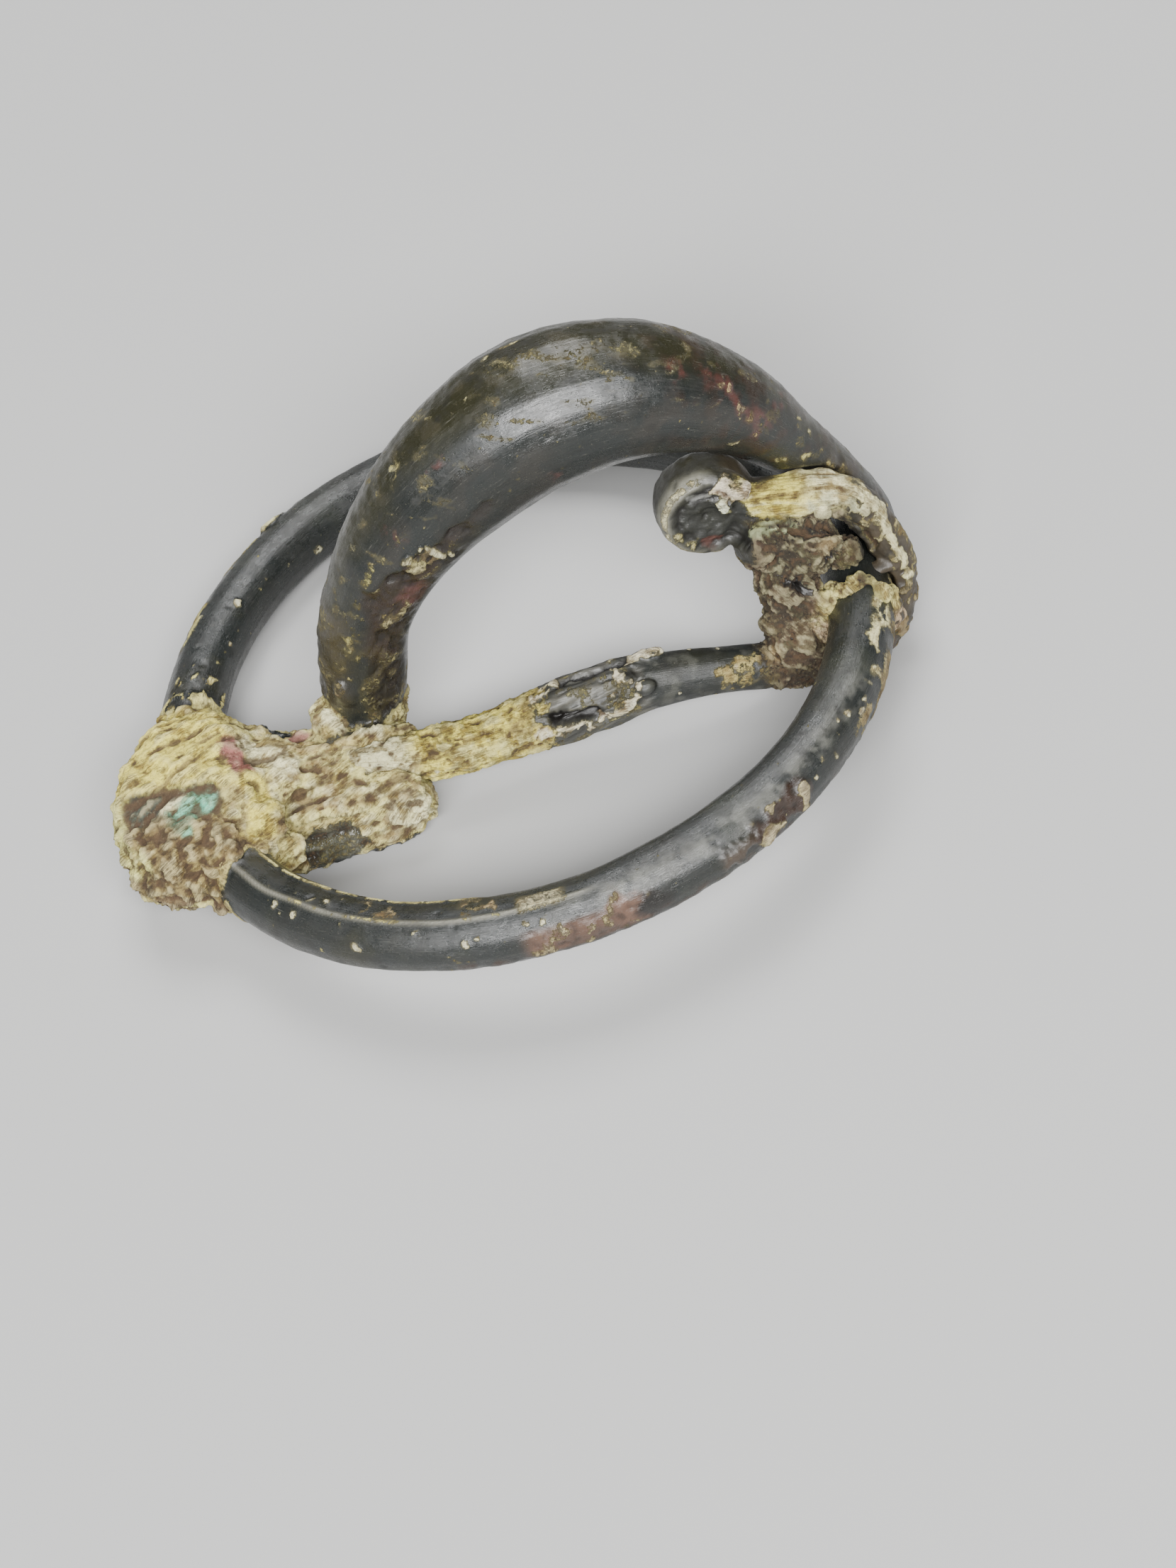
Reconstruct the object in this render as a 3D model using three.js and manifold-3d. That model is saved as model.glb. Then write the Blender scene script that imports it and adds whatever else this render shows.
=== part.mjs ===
// Annular bow brooch in cast bronze, lying loose on a flat surface.
// Three pieces: a hand-bent ring, a thick bow cast in one with its foot boss and catch plate,
// and a pin whose wire wraps the ring at the head and ends in a coil under the bow.
// Millimetres, +Z up, X from foot to head, Y away from the side that the pin lies on.
import * as THREE from 'three';
import { mergeVertices } from 'three/addons/utils/BufferGeometryUtils.js';
import Module from 'manifold-3d';

const manifold = await Module();
manifold.setup();

// ---- driving dimensions ----
const RING_RADIUS = 19;        // to the middle of the rod
const ROD_RADIUS = 1.78;
const RING_WAVES = [[1, 0.027, -0.01], [2, 0.002, 0], [3, 0.01, -0.011]];   // how far it is out of round
const GAP = 0.3;               // kept between pieces that are wedged or cemented together
const BOW_SIDE = 0.6;          // the bow stands this far from the middle of the ring
const PIN_SIDE = -4;           // and the pin lies this far to the other side
const BOSS_ANGLE = Math.PI * 1.05;
const BOSS = { along: 5.4, inner: 4.35, outer: 4.95, high: 3.25, rise: 0.4, power: 3, taper: 0.52 };
const BOSS_TAPER_RUN = [-0.35, 1.1];   // where along the boss its outer side starts and ends narrowing
const PLATE = {
  from: -17, to: -5.9,         // along the bow
  near: -6.9, farLeft: 2.2, farRight: -1.6,
  top: 0.9, bottom: -3.9, power: 5,
};
const PLATE_LEAN = { boss: 1.7, end: 0.34 };   // how far its near face leans back at its two ends
const COIL = { x: 13.1, y: -0.8, z: 7.7, radius: 2.75, wide: 3.6 };
// Half the coil's outline as [share of its radius, share of its half width], from its middle to its rim.
const COIL_OUTLINE = [[0, 0.8], [0.5, 1], [0.93, 0.6], [1, 0]];
const NEAR_SIDE_UP = THREE.MathUtils.degToRad(6);
const HEAD_UP = THREE.MathUtils.degToRad(2);
const RING_LIFT = 3.76;        // middle of the ring above the table, with a worn flat under its far side

// Bow from the foot of its leg to the claw at the head: x, y, z, half width, half thickness.
const BOW_STATIONS = [
  [-9.0, BOW_SIDE - 0.8, -3.3, 1.4, 1.3],
  [-8.3, BOW_SIDE - 0.1, -0.6, 2.3, 2.2],
  [-7.4, BOW_SIDE, 2.6, 2.4, 2.3],
  [-6.2, BOW_SIDE, 6.4, 2.5, 2.4],
  [-3.2, BOW_SIDE, 10.7, 3.1, 3.0],
  [1.5, BOW_SIDE, 14.3, 3.8, 3.7],
  [6.3, BOW_SIDE, 16.1, 4.1, 4.0],
  [11.3, BOW_SIDE, 15.5, 3.7, 3.6],
  [15.5, BOW_SIDE, 12.7, 2.8, 2.7],
  [18.5, BOW_SIDE + 0.1, 8.4, 1.9, 1.8],
  [20.7, BOW_SIDE + 0.3, 4.5, 1.6, 1.25],
  [21.9, BOW_SIDE + 0.5, 1.2, 1.5, 1.05],
  [22.1, BOW_SIDE + 0.5, -1.2, 0.9, 0.7],
];

// Pin from its tip on the catch plate, under the ring, up its outside and over it to the coil.
const PIN_STATIONS = [
  [-9.6, PIN_SIDE, 0.95, 0.45, 0.45],
  [-8.2, PIN_SIDE, 0.4, 1.0, 1.0],
  [-4.9, PIN_SIDE, -0.5, 1.45, 1.4],
  [-1.4, PIN_SIDE, -0.7, 1.45, 1.4],
  [2.4, PIN_SIDE, -0.5, 1.7, 1.7],
  [6.2, PIN_SIDE, -0.4, 1.6, 1.6],
  [10.4, PIN_SIDE, -1.2, 1.3, 1.3],
  [14.4, PIN_SIDE, -2.4, 1.3, 1.3],
  [18.3, PIN_SIDE + 0.4, -3.7, 1.35, 1.3],
  [21.1, PIN_SIDE + 1.1, -2.4, 1.2, 1.15],
  [22.0, PIN_SIDE + 1.8, 0.3, 1.15, 1.05],
  [21.5, PIN_SIDE + 2.2, 3.3, 1.2, 1.1],
  [19.9, PIN_SIDE + 2.4, 5.9, 1.25, 1.2],
  [16.9, PIN_SIDE + 2.4, 7.0, 1.2, 1.2],
  [COIL.x + 0.6, PIN_SIDE + 2.6, COIL.z + 0.1, 1.15, 1.15],
];

// Corrosion that has grown between the coil and the pin's root: x, y, z and three half sizes.
const CRUST_LUMPS = [
  [15.6, -2.2, 5.3, 1.8, 2.0, 2.0],
  [17.3, -2.4, 4.0, 2.1, 1.8, 1.9],
  [16.0, -2.8, 1.8, 1.7, 2.0, 2.7],
  [15.6, -3.5, -1.2, 1.7, 1.9, 2.3],
];

const BALL_POWER = 2;          // the power at which a blunt block is a ball

// How finely the round forms are faceted.
const RING_FACETS = { round: 12, along: 90 };
const BOW_FACETS = { round: 18, along: 44 };
const PIN_FACETS = { round: 12, along: 54 };
const BOSS_CUTS = [11, 7, 7];
const PLATE_CUTS = [10, 8, 6];
const LUMP_CUTS = [5, 5, 5];
const COIL_FACETS = { outline: 12, round: 20 };

// ---- geometry helpers ----
const lerp = THREE.MathUtils.lerp;

const ringRadiusAt = (angle) => RING_WAVES.reduce(
  (radius, [count, even, odd]) =>
    radius + RING_RADIUS * (even * Math.cos(count * angle) + odd * Math.sin(count * angle)),
  RING_RADIUS,
);

// Moves every vertex of a closed geometry through a function of its old place.
const reshape = (geometry, move) => {
  const place = geometry.attributes.position;
  const vertex = new THREE.Vector3();
  for (let i = 0; i < place.count; i += 1) {
    move(vertex.fromBufferAttribute(place, i));
    place.setXYZ(i, vertex.x, vertex.y, vertex.z);
  }
  return geometry;
};

const toSolid = (geometry) => {
  geometry.deleteAttribute('normal');
  geometry.deleteAttribute('uv');
  const merged = mergeVertices(geometry, 1e-5);
  return new manifold.Manifold(new manifold.Mesh({
    numProp: 3,
    vertProperties: new Float32Array(merged.attributes.position.array),
    triVerts: new Uint32Array(merged.index.array),
  }));
};

// A rod of changing oval section along stations; grow swells it for a clearance cut.
const rod = (stations, facets, grow = 0) => {
  const path = new THREE.CatmullRomCurve3(stations.map(([x, y, z]) => new THREE.Vector3(x, y, z)));
  const section = new THREE.CatmullRomCurve3(
    stations.map(([, , , wide, thick]) => new THREE.Vector3(wide, thick, 0)),
  );
  const tube = new THREE.CylinderGeometry(1, 1, 1, facets.round, facets.along);
  return toSolid(reshape(tube, (vertex) => {
    const t = THREE.MathUtils.clamp(vertex.y + 0.5, 0, 1);
    const along = path.getTangent(t);
    const side = new THREE.Vector3(0, 1, 0).addScaledVector(along, -along.y).normalize();
    const out = new THREE.Vector3().crossVectors(side, along);
    const half = section.getPoint(t);
    const { x, z } = vertex;
    vertex.copy(path.getPoint(t));
    vertex.addScaledVector(side, x * (half.x + grow));
    vertex.addScaledVector(out, z * (half.y + grow));
    if (t === 0 || t === 1) vertex.addScaledVector(along, (t === 0 ? -1 : 1) * grow);
  }));
};

// A box blown up towards a ball: higher powers keep more of the box.
const bluntBlock = (power, cuts, move) => {
  const reach = (vertex) =>
    vertex.toArray().reduce((sum, side) => sum + Math.abs(side) ** power, 0) ** (1 / power);
  return toSolid(reshape(
    new THREE.BoxGeometry(2, 2, 2, ...cuts),
    (vertex) => move(vertex.divideScalar(reach(vertex))),
  ));
};

const ellipsoid = ([x, y, z, ...half]) => bluntBlock(BALL_POWER, LUMP_CUTS, (vertex) => {
  vertex.multiply(new THREE.Vector3(...half)).add(new THREE.Vector3(x, y, z));
});

const unite = (solids) => solids.reduce((whole, solid) => whole.add(solid));

// ---- the pieces, with the ring level and its middle at the origin ----
const ringSolid = (grow = 0) => toSolid(reshape(
  new THREE.TorusGeometry(RING_RADIUS, ROD_RADIUS + grow, RING_FACETS.round, RING_FACETS.along),
  (vertex) => {
    const angle = Math.atan2(vertex.y, vertex.x);
    const stretch = ringRadiusAt(angle) - RING_RADIUS;
    vertex.x += stretch * Math.cos(angle);
    vertex.y += stretch * Math.sin(angle);
  },
));

// The boss is bent round the ring, and its outer side tapers towards the far end.
const bossSolid = () => bluntBlock(BOSS.power, BOSS_CUTS, (vertex) => {
  const angle = BOSS_ANGLE - vertex.x * BOSS.along / RING_RADIUS;
  const narrow = 1 - BOSS.taper * THREE.MathUtils.smoothstep(vertex.x, ...BOSS_TAPER_RUN);
  const across = vertex.y > 0 ? BOSS.outer * narrow : BOSS.inner;
  const radius = ringRadiusAt(angle) + vertex.y * across;
  vertex.set(radius * Math.cos(angle), radius * Math.sin(angle), BOSS.rise + vertex.z * BOSS.high);
});

const catchPlateSolid = () => bluntBlock(PLATE.power, PLATE_CUTS, (vertex) => {
  const run = (vertex.x + 1) / 2;
  const up = (vertex.z + 1) / 2;
  const nearness = (1 - vertex.y) / 2;
  const far = lerp(PLATE.farLeft, PLATE.farRight, run);
  const lean = up * lerp(PLATE_LEAN.boss, PLATE_LEAN.end, run);
  vertex.x = lerp(PLATE.from, PLATE.to, run);
  vertex.y = lerp(far, PLATE.near + lean, nearness);
  vertex.z = lerp(PLATE.bottom, PLATE.top, up);
});

const coilSolid = () => {
  const half = COIL_OUTLINE.map(([out, side]) => [out * COIL.radius, side * COIL.wide / 2]);
  const whole = [...half.map(([out, side]) => [out, -side]), ...half.slice(0, -1).reverse()];
  const profile = new THREE.CatmullRomCurve3(whole.map(([out, side]) => new THREE.Vector3(out, side, 0)));
  const outline = profile.getPoints(COIL_FACETS.outline)
    .map(({ x, y }) => new THREE.Vector2(Math.max(0, x), y));
  outline[0].x = 0;
  outline.at(-1).x = 0;
  return toSolid(new THREE.LatheGeometry(outline, COIL_FACETS.round).translate(COIL.x, COIL.y, COIL.z));
};

const ring = ringSolid();
const ringSpace = ringSolid(GAP);
const pin = unite([
  rod(PIN_STATIONS, PIN_FACETS),
  coilSolid(),
  ...CRUST_LUMPS.map(ellipsoid),
]).subtract(ringSpace);
const bow = unite([rod(BOW_STATIONS, BOW_FACETS), bossSolid(), catchPlateSolid()])
  .subtract(ringSpace)
  .subtract(rod(PIN_STATIONS, PIN_FACETS, GAP));

// ---- laid down on the table, with every point of contact worn flat ----
const lay = new THREE.Matrix4()
  .makeTranslation(0, 0, RING_LIFT)
  .multiply(new THREE.Matrix4().makeRotationX(-NEAR_SIDE_UP))
  .multiply(new THREE.Matrix4().makeRotationY(-HEAD_UP));
const TABLE_SIZE = 100;         // more than reaches below any piece
const table = toSolid(
  new THREE.BoxGeometry(TABLE_SIZE, TABLE_SIZE, TABLE_SIZE).translate(0, 0, -TABLE_SIZE / 2),
);

const toMesh = (name, solid, finish) => {
  const { numProp, vertProperties, triVerts } = solid.transform(lay.elements).subtract(table).getMesh();
  const geometry = new THREE.BufferGeometry();
  const place = Float32Array.from({ length: (vertProperties.length / numProp) * 3 },
    (_, i) => vertProperties[Math.floor(i / 3) * numProp + (i % 3)]);
  geometry.setAttribute('position', new THREE.BufferAttribute(place, 3));
  geometry.setIndex(new THREE.BufferAttribute(new Uint32Array(triVerts), 1));
  geometry.computeVertexNormals();
  const mesh = new THREE.Mesh(geometry, new THREE.MeshStandardMaterial({ metalness: 0.35, ...finish }));
  mesh.name = name;
  return mesh;
};

const group = new THREE.Group();
group.add(
  toMesh('ring', ring, { color: 0x2b2b27, roughness: 0.4 }),
  toMesh('bow', bow, { color: 0x24241f, roughness: 0.38 }),
  toMesh('pin', pin, { color: 0x6f664a, roughness: 0.65 }),
);

// The origin is under the middle of the whole brooch.
const middle = new THREE.Box3().setFromObject(group).getCenter(new THREE.Vector3());
group.position.set(-middle.x, -middle.y, 0);

export default group;
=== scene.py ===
import math

import bmesh
import bpy
import numpy as np
from mathutils import Matrix, Vector


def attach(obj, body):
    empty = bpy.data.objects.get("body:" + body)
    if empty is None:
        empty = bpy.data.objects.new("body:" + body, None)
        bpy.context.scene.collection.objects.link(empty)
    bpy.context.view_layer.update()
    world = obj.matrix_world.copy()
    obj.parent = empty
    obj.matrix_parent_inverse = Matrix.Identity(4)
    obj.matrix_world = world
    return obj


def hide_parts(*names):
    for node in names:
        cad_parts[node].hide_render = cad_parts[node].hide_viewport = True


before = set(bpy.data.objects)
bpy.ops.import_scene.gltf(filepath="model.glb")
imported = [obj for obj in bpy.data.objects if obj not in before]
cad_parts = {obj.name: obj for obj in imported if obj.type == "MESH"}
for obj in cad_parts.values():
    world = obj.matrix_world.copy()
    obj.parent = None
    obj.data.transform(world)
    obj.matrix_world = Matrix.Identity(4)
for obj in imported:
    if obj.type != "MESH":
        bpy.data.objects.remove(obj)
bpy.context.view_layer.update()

# Lengths are in millimetres in the brooch's own level frame: the ring's middle is the origin,
# X runs to the head, Y away from the pin's side, Z up from the ring. LAY lays it on the table.
MM = 0.001
RING_RADIUS = 19.0
ROD_RADIUS = 1.78
RING_WAVES = ((1, 0.027, -0.01), (2, 0.002, 0.0), (3, 0.01, -0.011))
RING_MIDDLE = (-0.08, -0.016, 3.76)
NEAR_SIDE_UP = math.radians(6)
HEAD_UP = math.radians(2)
LAY = (Matrix.Translation(RING_MIDDLE) @ Matrix.Rotation(-NEAR_SIDE_UP, 4, 'X')
       @ Matrix.Rotation(-HEAD_UP, 4, 'Y'))

BOW_LINE = ((-8.7, 0.2, -1.5), (-7.4, 0.6, 2.6), (-6.2, 0.6, 6.4), (-3.2, 0.6, 10.7), (1.5, 0.6, 14.3),
            (6.3, 0.6, 16.1), (11.3, 0.6, 15.5), (15.5, 0.6, 12.7), (18.5, 0.7, 8.4), (20.7, 0.9, 4.5),
            (21.9, 1.1, 1.2), (22.1, 1.1, -1.2))
PIN_LINE = ((-9.6, -4.0, 0.9), (-4.9, -4.0, -0.5), (2.4, -4.0, -0.5), (6.2, -4.0, -0.4), (14.4, -4.0, -2.4),
            (18.3, -3.6, -3.7), (21.1, -2.9, -2.4), (22.0, -2.2, 0.3), (21.5, -1.8, 3.3), (19.9, -1.6, 5.9),
            (16.9, -1.6, 7.0), (13.7, -1.4, 7.8))
COIL_MIDDLE = (13.1, -0.8, 7.7)


# ---- camera ----
AIM = Vector((2.33, -5.49, -1.15)) * MM
CAMERA_AZIMUTH = math.radians(-0.2)
CAMERA_ELEVATION = math.radians(51.0)
CAMERA_ROLL = math.radians(-17.1)
CAMERA_DISTANCE = 200 * MM
LENS = 83.1
SENSOR_WIDTH = 36
CLIP_START, CLIP_END = 0.01, 20


def add_camera():
    back = Vector((math.sin(CAMERA_AZIMUTH) * math.cos(CAMERA_ELEVATION),
        -math.cos(CAMERA_AZIMUTH) * math.cos(CAMERA_ELEVATION), math.sin(CAMERA_ELEVATION)))
    level_right = Vector((math.cos(CAMERA_AZIMUTH), math.sin(CAMERA_AZIMUTH), 0))
    level_up = back.cross(level_right)
    right = level_right * math.cos(CAMERA_ROLL) + level_up * math.sin(CAMERA_ROLL)
    camera = bpy.data.objects.new("camera", bpy.data.cameras.new("camera"))
    turn = Matrix((right, back.cross(right), back)).transposed().to_4x4()
    camera.matrix_world = Matrix.Translation(AIM + back * CAMERA_DISTANCE) @ turn
    camera.data.lens = LENS
    camera.data.sensor_width = SENSOR_WIDTH
    camera.data.clip_start = CLIP_START
    camera.data.clip_end = CLIP_END
    bpy.context.scene.collection.objects.link(camera)
    bpy.context.scene.camera = camera


# ---- noise, the same on every run ----
def perlin(points, seed):
    """Smooth noise from about -1 to 1 at each row of points."""
    random = np.random.RandomState(seed)
    order = random.permutation(256)
    slopes = random.normal(size=(256, 3))
    slopes /= np.linalg.norm(slopes, axis=1)[:, None]
    cell = np.floor(points).astype(np.int64)
    local = points - cell
    fade = local ** 3 * (local * (local * 6 - 15) + 10)
    total = np.zeros(len(points))
    for corner in np.ndindex(2, 2, 2):
        at = (cell + corner) & 255
        key = order[(order[(order[at[:, 0]] + at[:, 1]) & 255] + at[:, 2]) & 255]
        weight = np.prod(np.where(corner, fade, 1 - fade), axis=1)
        total += weight * np.einsum('ij,ij->i', slopes[key], local - corner)
    return total * 1.6


def layered(points, size, seed, octaves=4, gain=0.5):
    """Perlin noise summed over octaves; size is the largest feature in millimetres."""
    total = np.zeros(len(points))
    for octave in range(octaves):
        total += gain ** octave * perlin(points * 2 ** octave / size + 17.3 * octave, seed + octave)
    return total


def fibres(points, direction, size, stretch, seed, octaves=3):
    """Layered noise that is drawn out along a direction, like the grain of wood."""
    direction = np.array(direction, float) / np.linalg.norm(direction)
    drawn = points - np.outer(points @ direction, direction) * (1 - 1 / stretch)
    return layered(drawn, size, seed, octaves, 0.6)


def cells(points, size, seed):
    """Distances to the nearest and second nearest of scattered grains, and a number for each grain."""
    random = np.random.RandomState(seed)
    jitter = random.uniform(size=(4096, 4))
    scaled = points / size
    base = np.floor(scaled).astype(np.int64)
    first = np.full(len(points), 9.0)
    second = np.full(len(points), 9.0)
    tag = np.zeros(len(points))
    for step in np.ndindex(3, 3, 3):
        at = base + np.array(step) - 1
        key = (at[:, 0] * 73856093 ^ at[:, 1] * 19349663 ^ at[:, 2] * 83492791) & 4095
        distance = np.linalg.norm(at + jitter[key, :3] - scaled, axis=1)
        closer = distance < first
        second = np.where(closer, first, np.minimum(second, distance))
        tag = np.where(closer, jitter[key, 3], tag)
        first = np.where(closer, distance, first)
    return first, second, tag


def three(reach):
    """A reach along X, Y and Z, from one number or from three."""
    return reach if isinstance(reach, tuple) else (reach,) * 3


def step(low, high, value):
    """0 below low and 1 above high, with a smooth rise between; low may be the larger."""
    t = np.clip((value - low) / (high - low), 0, 1)
    return t * t * (3 - 2 * t)


def band(angle, middle, outer, inner):
    """1 within inner radians of a middle in degrees, 0 beyond outer."""
    return step(outer, inner, np.abs(angle - math.radians(middle)))


def groove(value, width):
    """1 where a noise crosses nought, which draws a wandering line."""
    return step(width, 0, np.abs(value))


# ---- colours of the patina and of what has grown on it ----
# the first colour, near-black, serves soot and black cracks, and also a painted shadow on the coil
SOOT_AND_SHADOW = (0.007, 0.006, 0.005)
SLATE = (0.011, 0.013, 0.012)
LICHEN = (0.024, 0.027, 0.02)
OLIVE = (0.019, 0.018, 0.008)
UMBER = (0.024, 0.013, 0.008)
RUST = (0.066, 0.026, 0.021)
TAN = (0.23, 0.165, 0.06)
SAND = (0.42, 0.335, 0.115)
MOSS = (0.36, 0.33, 0.1)
YELLOW = (0.78, 0.68, 0.13)
CREAM = (0.66, 0.6, 0.22)
CHALK = (0.78, 0.74, 0.43)
TURQUOISE = (0.11, 0.44, 0.29)


class Skin:
    """The surface of one piece while it is worked: relief, patina colour and crust at each vertex."""

    def __init__(self, places, line):
        self.places = places
        self.height = np.zeros(len(places))
        self.crust = np.zeros(len(places))
        self.metal = np.tile(SLATE, (len(places), 1))
        self.tone = np.tile(CREAM, (len(places), 1))
        self.warp = np.stack([layered(places, 1.2, seed, 4, 0.6) for seed in (301, 302, 303)], axis=1)
        self.along, self.around = follow(places, line)

    def patch(self, place, reach, ragged=0.3, soft=0.5):
        """How far each vertex lies in a ragged patch around a place: 1 inside, 0 outside."""
        away = (self.places + self.warp * ragged - place) / three(reach)
        return step(1, 1 - soft, np.linalg.norm(away, axis=1))

    def stroke(self, line, width, ragged=0.3, soft=0.5):
        """How near each vertex lies to a ragged line through places: 1 on it, 0 beyond its half width."""
        moved = self.places + self.warp * ragged
        line = np.array(line, float)
        nearest = np.full(len(moved), 99.0)
        for start, end in zip(line[:-1], line[1:]):
            run = end - start
            t = np.clip((moved - start) @ run / (run @ run), 0, 1)
            nearest = np.minimum(nearest, np.linalg.norm(moved - start - t[:, None] * run, axis=1))
        return step(width, width * (1 - soft), nearest)

    def specks(self, size, share, seed, wide=0.3):
        """Scattered specks on a grid of the given size, in a share of its cells."""
        first, _, tag = cells(self.places + 0.15 * self.warp, size, seed)
        return step(wide, wide * 0.5, first) * (tag < share)

    def stain(self, weight, colour, height=0.0):
        """Colours the metal."""
        self.metal += weight[:, None] * (np.array(colour) - self.metal)
        self.height += weight * height

    def tint(self, weight, colour, height=0.0):
        """Colours the crust that is there."""
        self.tone += weight[:, None] * (np.array(colour) - self.tone)
        self.height += weight * height

    def grow(self, weight, colour, height=0.0):
        """Covers the metal with crust."""
        self.crust = np.maximum(self.crust, weight)
        self.tint(weight, colour, height)

    def strip(self, weight, depth=0.0):
        """Bares the metal again."""
        self.crust *= 1 - weight
        self.height -= weight * depth


def spline(points, count):
    """Places along a Catmull-Rom curve through points."""
    points = np.array(points, float)
    knots = np.vstack([2 * points[0] - points[1], points, 2 * points[-1] - points[-2]])
    t = np.linspace(0, len(points) - 1, count, endpoint=False)
    i = t.astype(int)
    u = (t - i)[:, None]
    a, b, c, d = (knots[i + k] for k in range(4))
    return 0.5 * (2 * b + (c - a) * u + (2 * a - 5 * b + 4 * c - d) * u ** 2
        + (3 * b - a - 3 * c + d) * u ** 3)


def follow(places, line):
    """Millimetres along a line, and the angle round it from its upper outer side, at each place."""
    curve = spline(line, 160)
    lengths = np.concatenate([[0], np.cumsum(np.linalg.norm(np.diff(curve, axis=0), axis=1))])
    nearest = np.empty(len(places), int)
    for start in range(0, len(places), 20000):
        some = places[start:start + 20000]
        nearest[start:start + 20000] = np.argmin(((some[:, None] - curve[None]) ** 2).sum(axis=2), axis=1)
    tangent = np.gradient(curve, axis=0)
    tangent /= np.linalg.norm(tangent, axis=1)[:, None]
    side = np.array((0.0, 1.0, 0.0)) - tangent * tangent[:, 1:2]
    side /= np.linalg.norm(side, axis=1)[:, None]
    outward = np.cross(tangent, side)
    away = places - curve[nearest]
    smooth_along = lengths[nearest] + np.einsum('ij,ij->i', away, tangent[nearest])
    angle = np.arctan2(np.einsum('ij,ij->i', away, side[nearest]),
        np.einsum('ij,ij->i', away, outward[nearest]))
    return smooth_along, angle


# ---- making one worked piece from a CAD node ----
# REGAIN puts back what smoothing takes off. A hollow is where the relief lies below its own
# average, and the rounds say how wide that average is.
REGAIN = 0.05
CLOSE_ROUNDS, NEAR_ROUNDS, FAR_ROUNDS = 2, 8, 36


def melted(node, lumps, voxel, rounds):
    """The CAD node and its lumps as one evenly meshed skin in the level frame, facets smoothed away."""
    to_level = LAY.inverted() @ Matrix.Scale(1 / MM, 4)
    shape = bmesh.new()
    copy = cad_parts[node].data.copy()
    copy.transform(to_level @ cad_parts[node].matrix_world)
    shape.from_mesh(copy)
    for place, reach in lumps:
        size = Matrix.Diagonal((*three(reach), 1))
        bmesh.ops.create_icosphere(shape, subdivisions=3, radius=1, matrix=Matrix.Translation(place) @ size)
    mesh = bpy.data.meshes.new(node)
    shape.to_mesh(mesh)
    shape.free()
    bpy.data.meshes.remove(copy)
    rough = bpy.data.objects.new(node, mesh)
    bpy.context.scene.collection.objects.link(rough)
    remesh = rough.modifiers.new("remesh", 'REMESH')
    remesh.mode = 'VOXEL'
    remesh.voxel_size = voxel
    smooth = rough.modifiers.new("smooth", 'SMOOTH')
    smooth.factor = 0.5
    smooth.iterations = rounds
    worked = bpy.data.meshes.new_from_object(rough.evaluated_get(bpy.context.evaluated_depsgraph_get()))
    bpy.data.objects.remove(rough)
    bpy.data.meshes.remove(mesh)
    return worked


def read_vectors(collection, key, count):
    values = np.empty(count * 3, np.float32)
    collection.foreach_get(key, values)
    return values.reshape(-1, 3).astype(float)


def store(mesh, name, kind, values):
    layer = mesh.attributes.new(name, kind, 'POINT')
    layer.data.foreach_set({'FLOAT': "value", 'FLOAT_COLOR': "color", 'FLOAT_VECTOR': "vector"}[kind],
                           np.ascontiguousarray(values, np.float32).ravel())


def evened(mesh, values, rounds):
    """A value at each vertex, averaged with its neighbours again and again."""
    edges = np.empty(len(mesh.edges) * 2, np.int32)
    mesh.edges.foreach_get("vertices", edges)
    a, b = edges.reshape(-1, 2).T
    count = len(values)
    share = 1 / np.maximum(np.bincount(a, minlength=count) + np.bincount(b, minlength=count), 1)
    for _ in range(rounds):
        values = 0.4 * values + 0.6 * share * (np.bincount(a, values[b], count)
            + np.bincount(b, values[a], count))
    return values


def work_piece(name, node, line, lumps, voxel, rounds, treat, material):
    """Melts a node and its lumps together, treats the skin, and lays the finished piece on the table."""
    mesh = melted(node, lumps, voxel, rounds)
    count = len(mesh.vertices)
    places = read_vectors(mesh.vertices, "co", count)
    normals = read_vectors(mesh.vertex_normals, "vector", count)
    skin = Skin(places, line)
    treat(skin)
    close = evened(mesh, skin.height, CLOSE_ROUNDS)
    near = evened(mesh, close, NEAR_ROUNDS)
    far = evened(mesh, near, FAR_ROUNDS)
    # the material paints shade into these hollows and a highlight onto the ridges between them
    hollow = 0.5 * (near - close) + 0.5 * (far - close)
    places = places + normals * (skin.height + REGAIN)[:, None]
    turn = np.array(LAY)
    world = places @ turn[:3, :3].T + turn[:3, 3]
    world[:, 2] = np.maximum(world[:, 2], 0)
    mesh.vertices.foreach_set("co", (world * MM).astype(np.float32).ravel())
    store(mesh, "crust", 'FLOAT', skin.crust)
    store(mesh, "hollow", 'FLOAT', hollow)
    store(mesh, "metal", 'FLOAT_COLOR', np.column_stack([skin.metal, np.ones(count)]))
    store(mesh, "tone", 'FLOAT_COLOR', np.column_stack([skin.tone, np.ones(count)]))
    store(mesh, "flow", 'FLOAT_VECTOR', np.column_stack([skin.along, skin.around * 3, np.zeros(count)]))
    mesh.polygons.foreach_set("use_smooth", np.ones(len(mesh.polygons), bool))
    mesh.name = name
    mesh.materials.clear()
    mesh.materials.append(material)
    piece = bpy.data.objects.new(name, mesh)
    bpy.context.scene.collection.objects.link(piece)
    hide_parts(node)
    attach(piece, "root")
    return piece


# ---- materials ----
PATINA_IOR = 1.55
CRUST_ROUGHNESS = 0.93
BUMP_DISTANCE = 0.12 * MM


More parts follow.
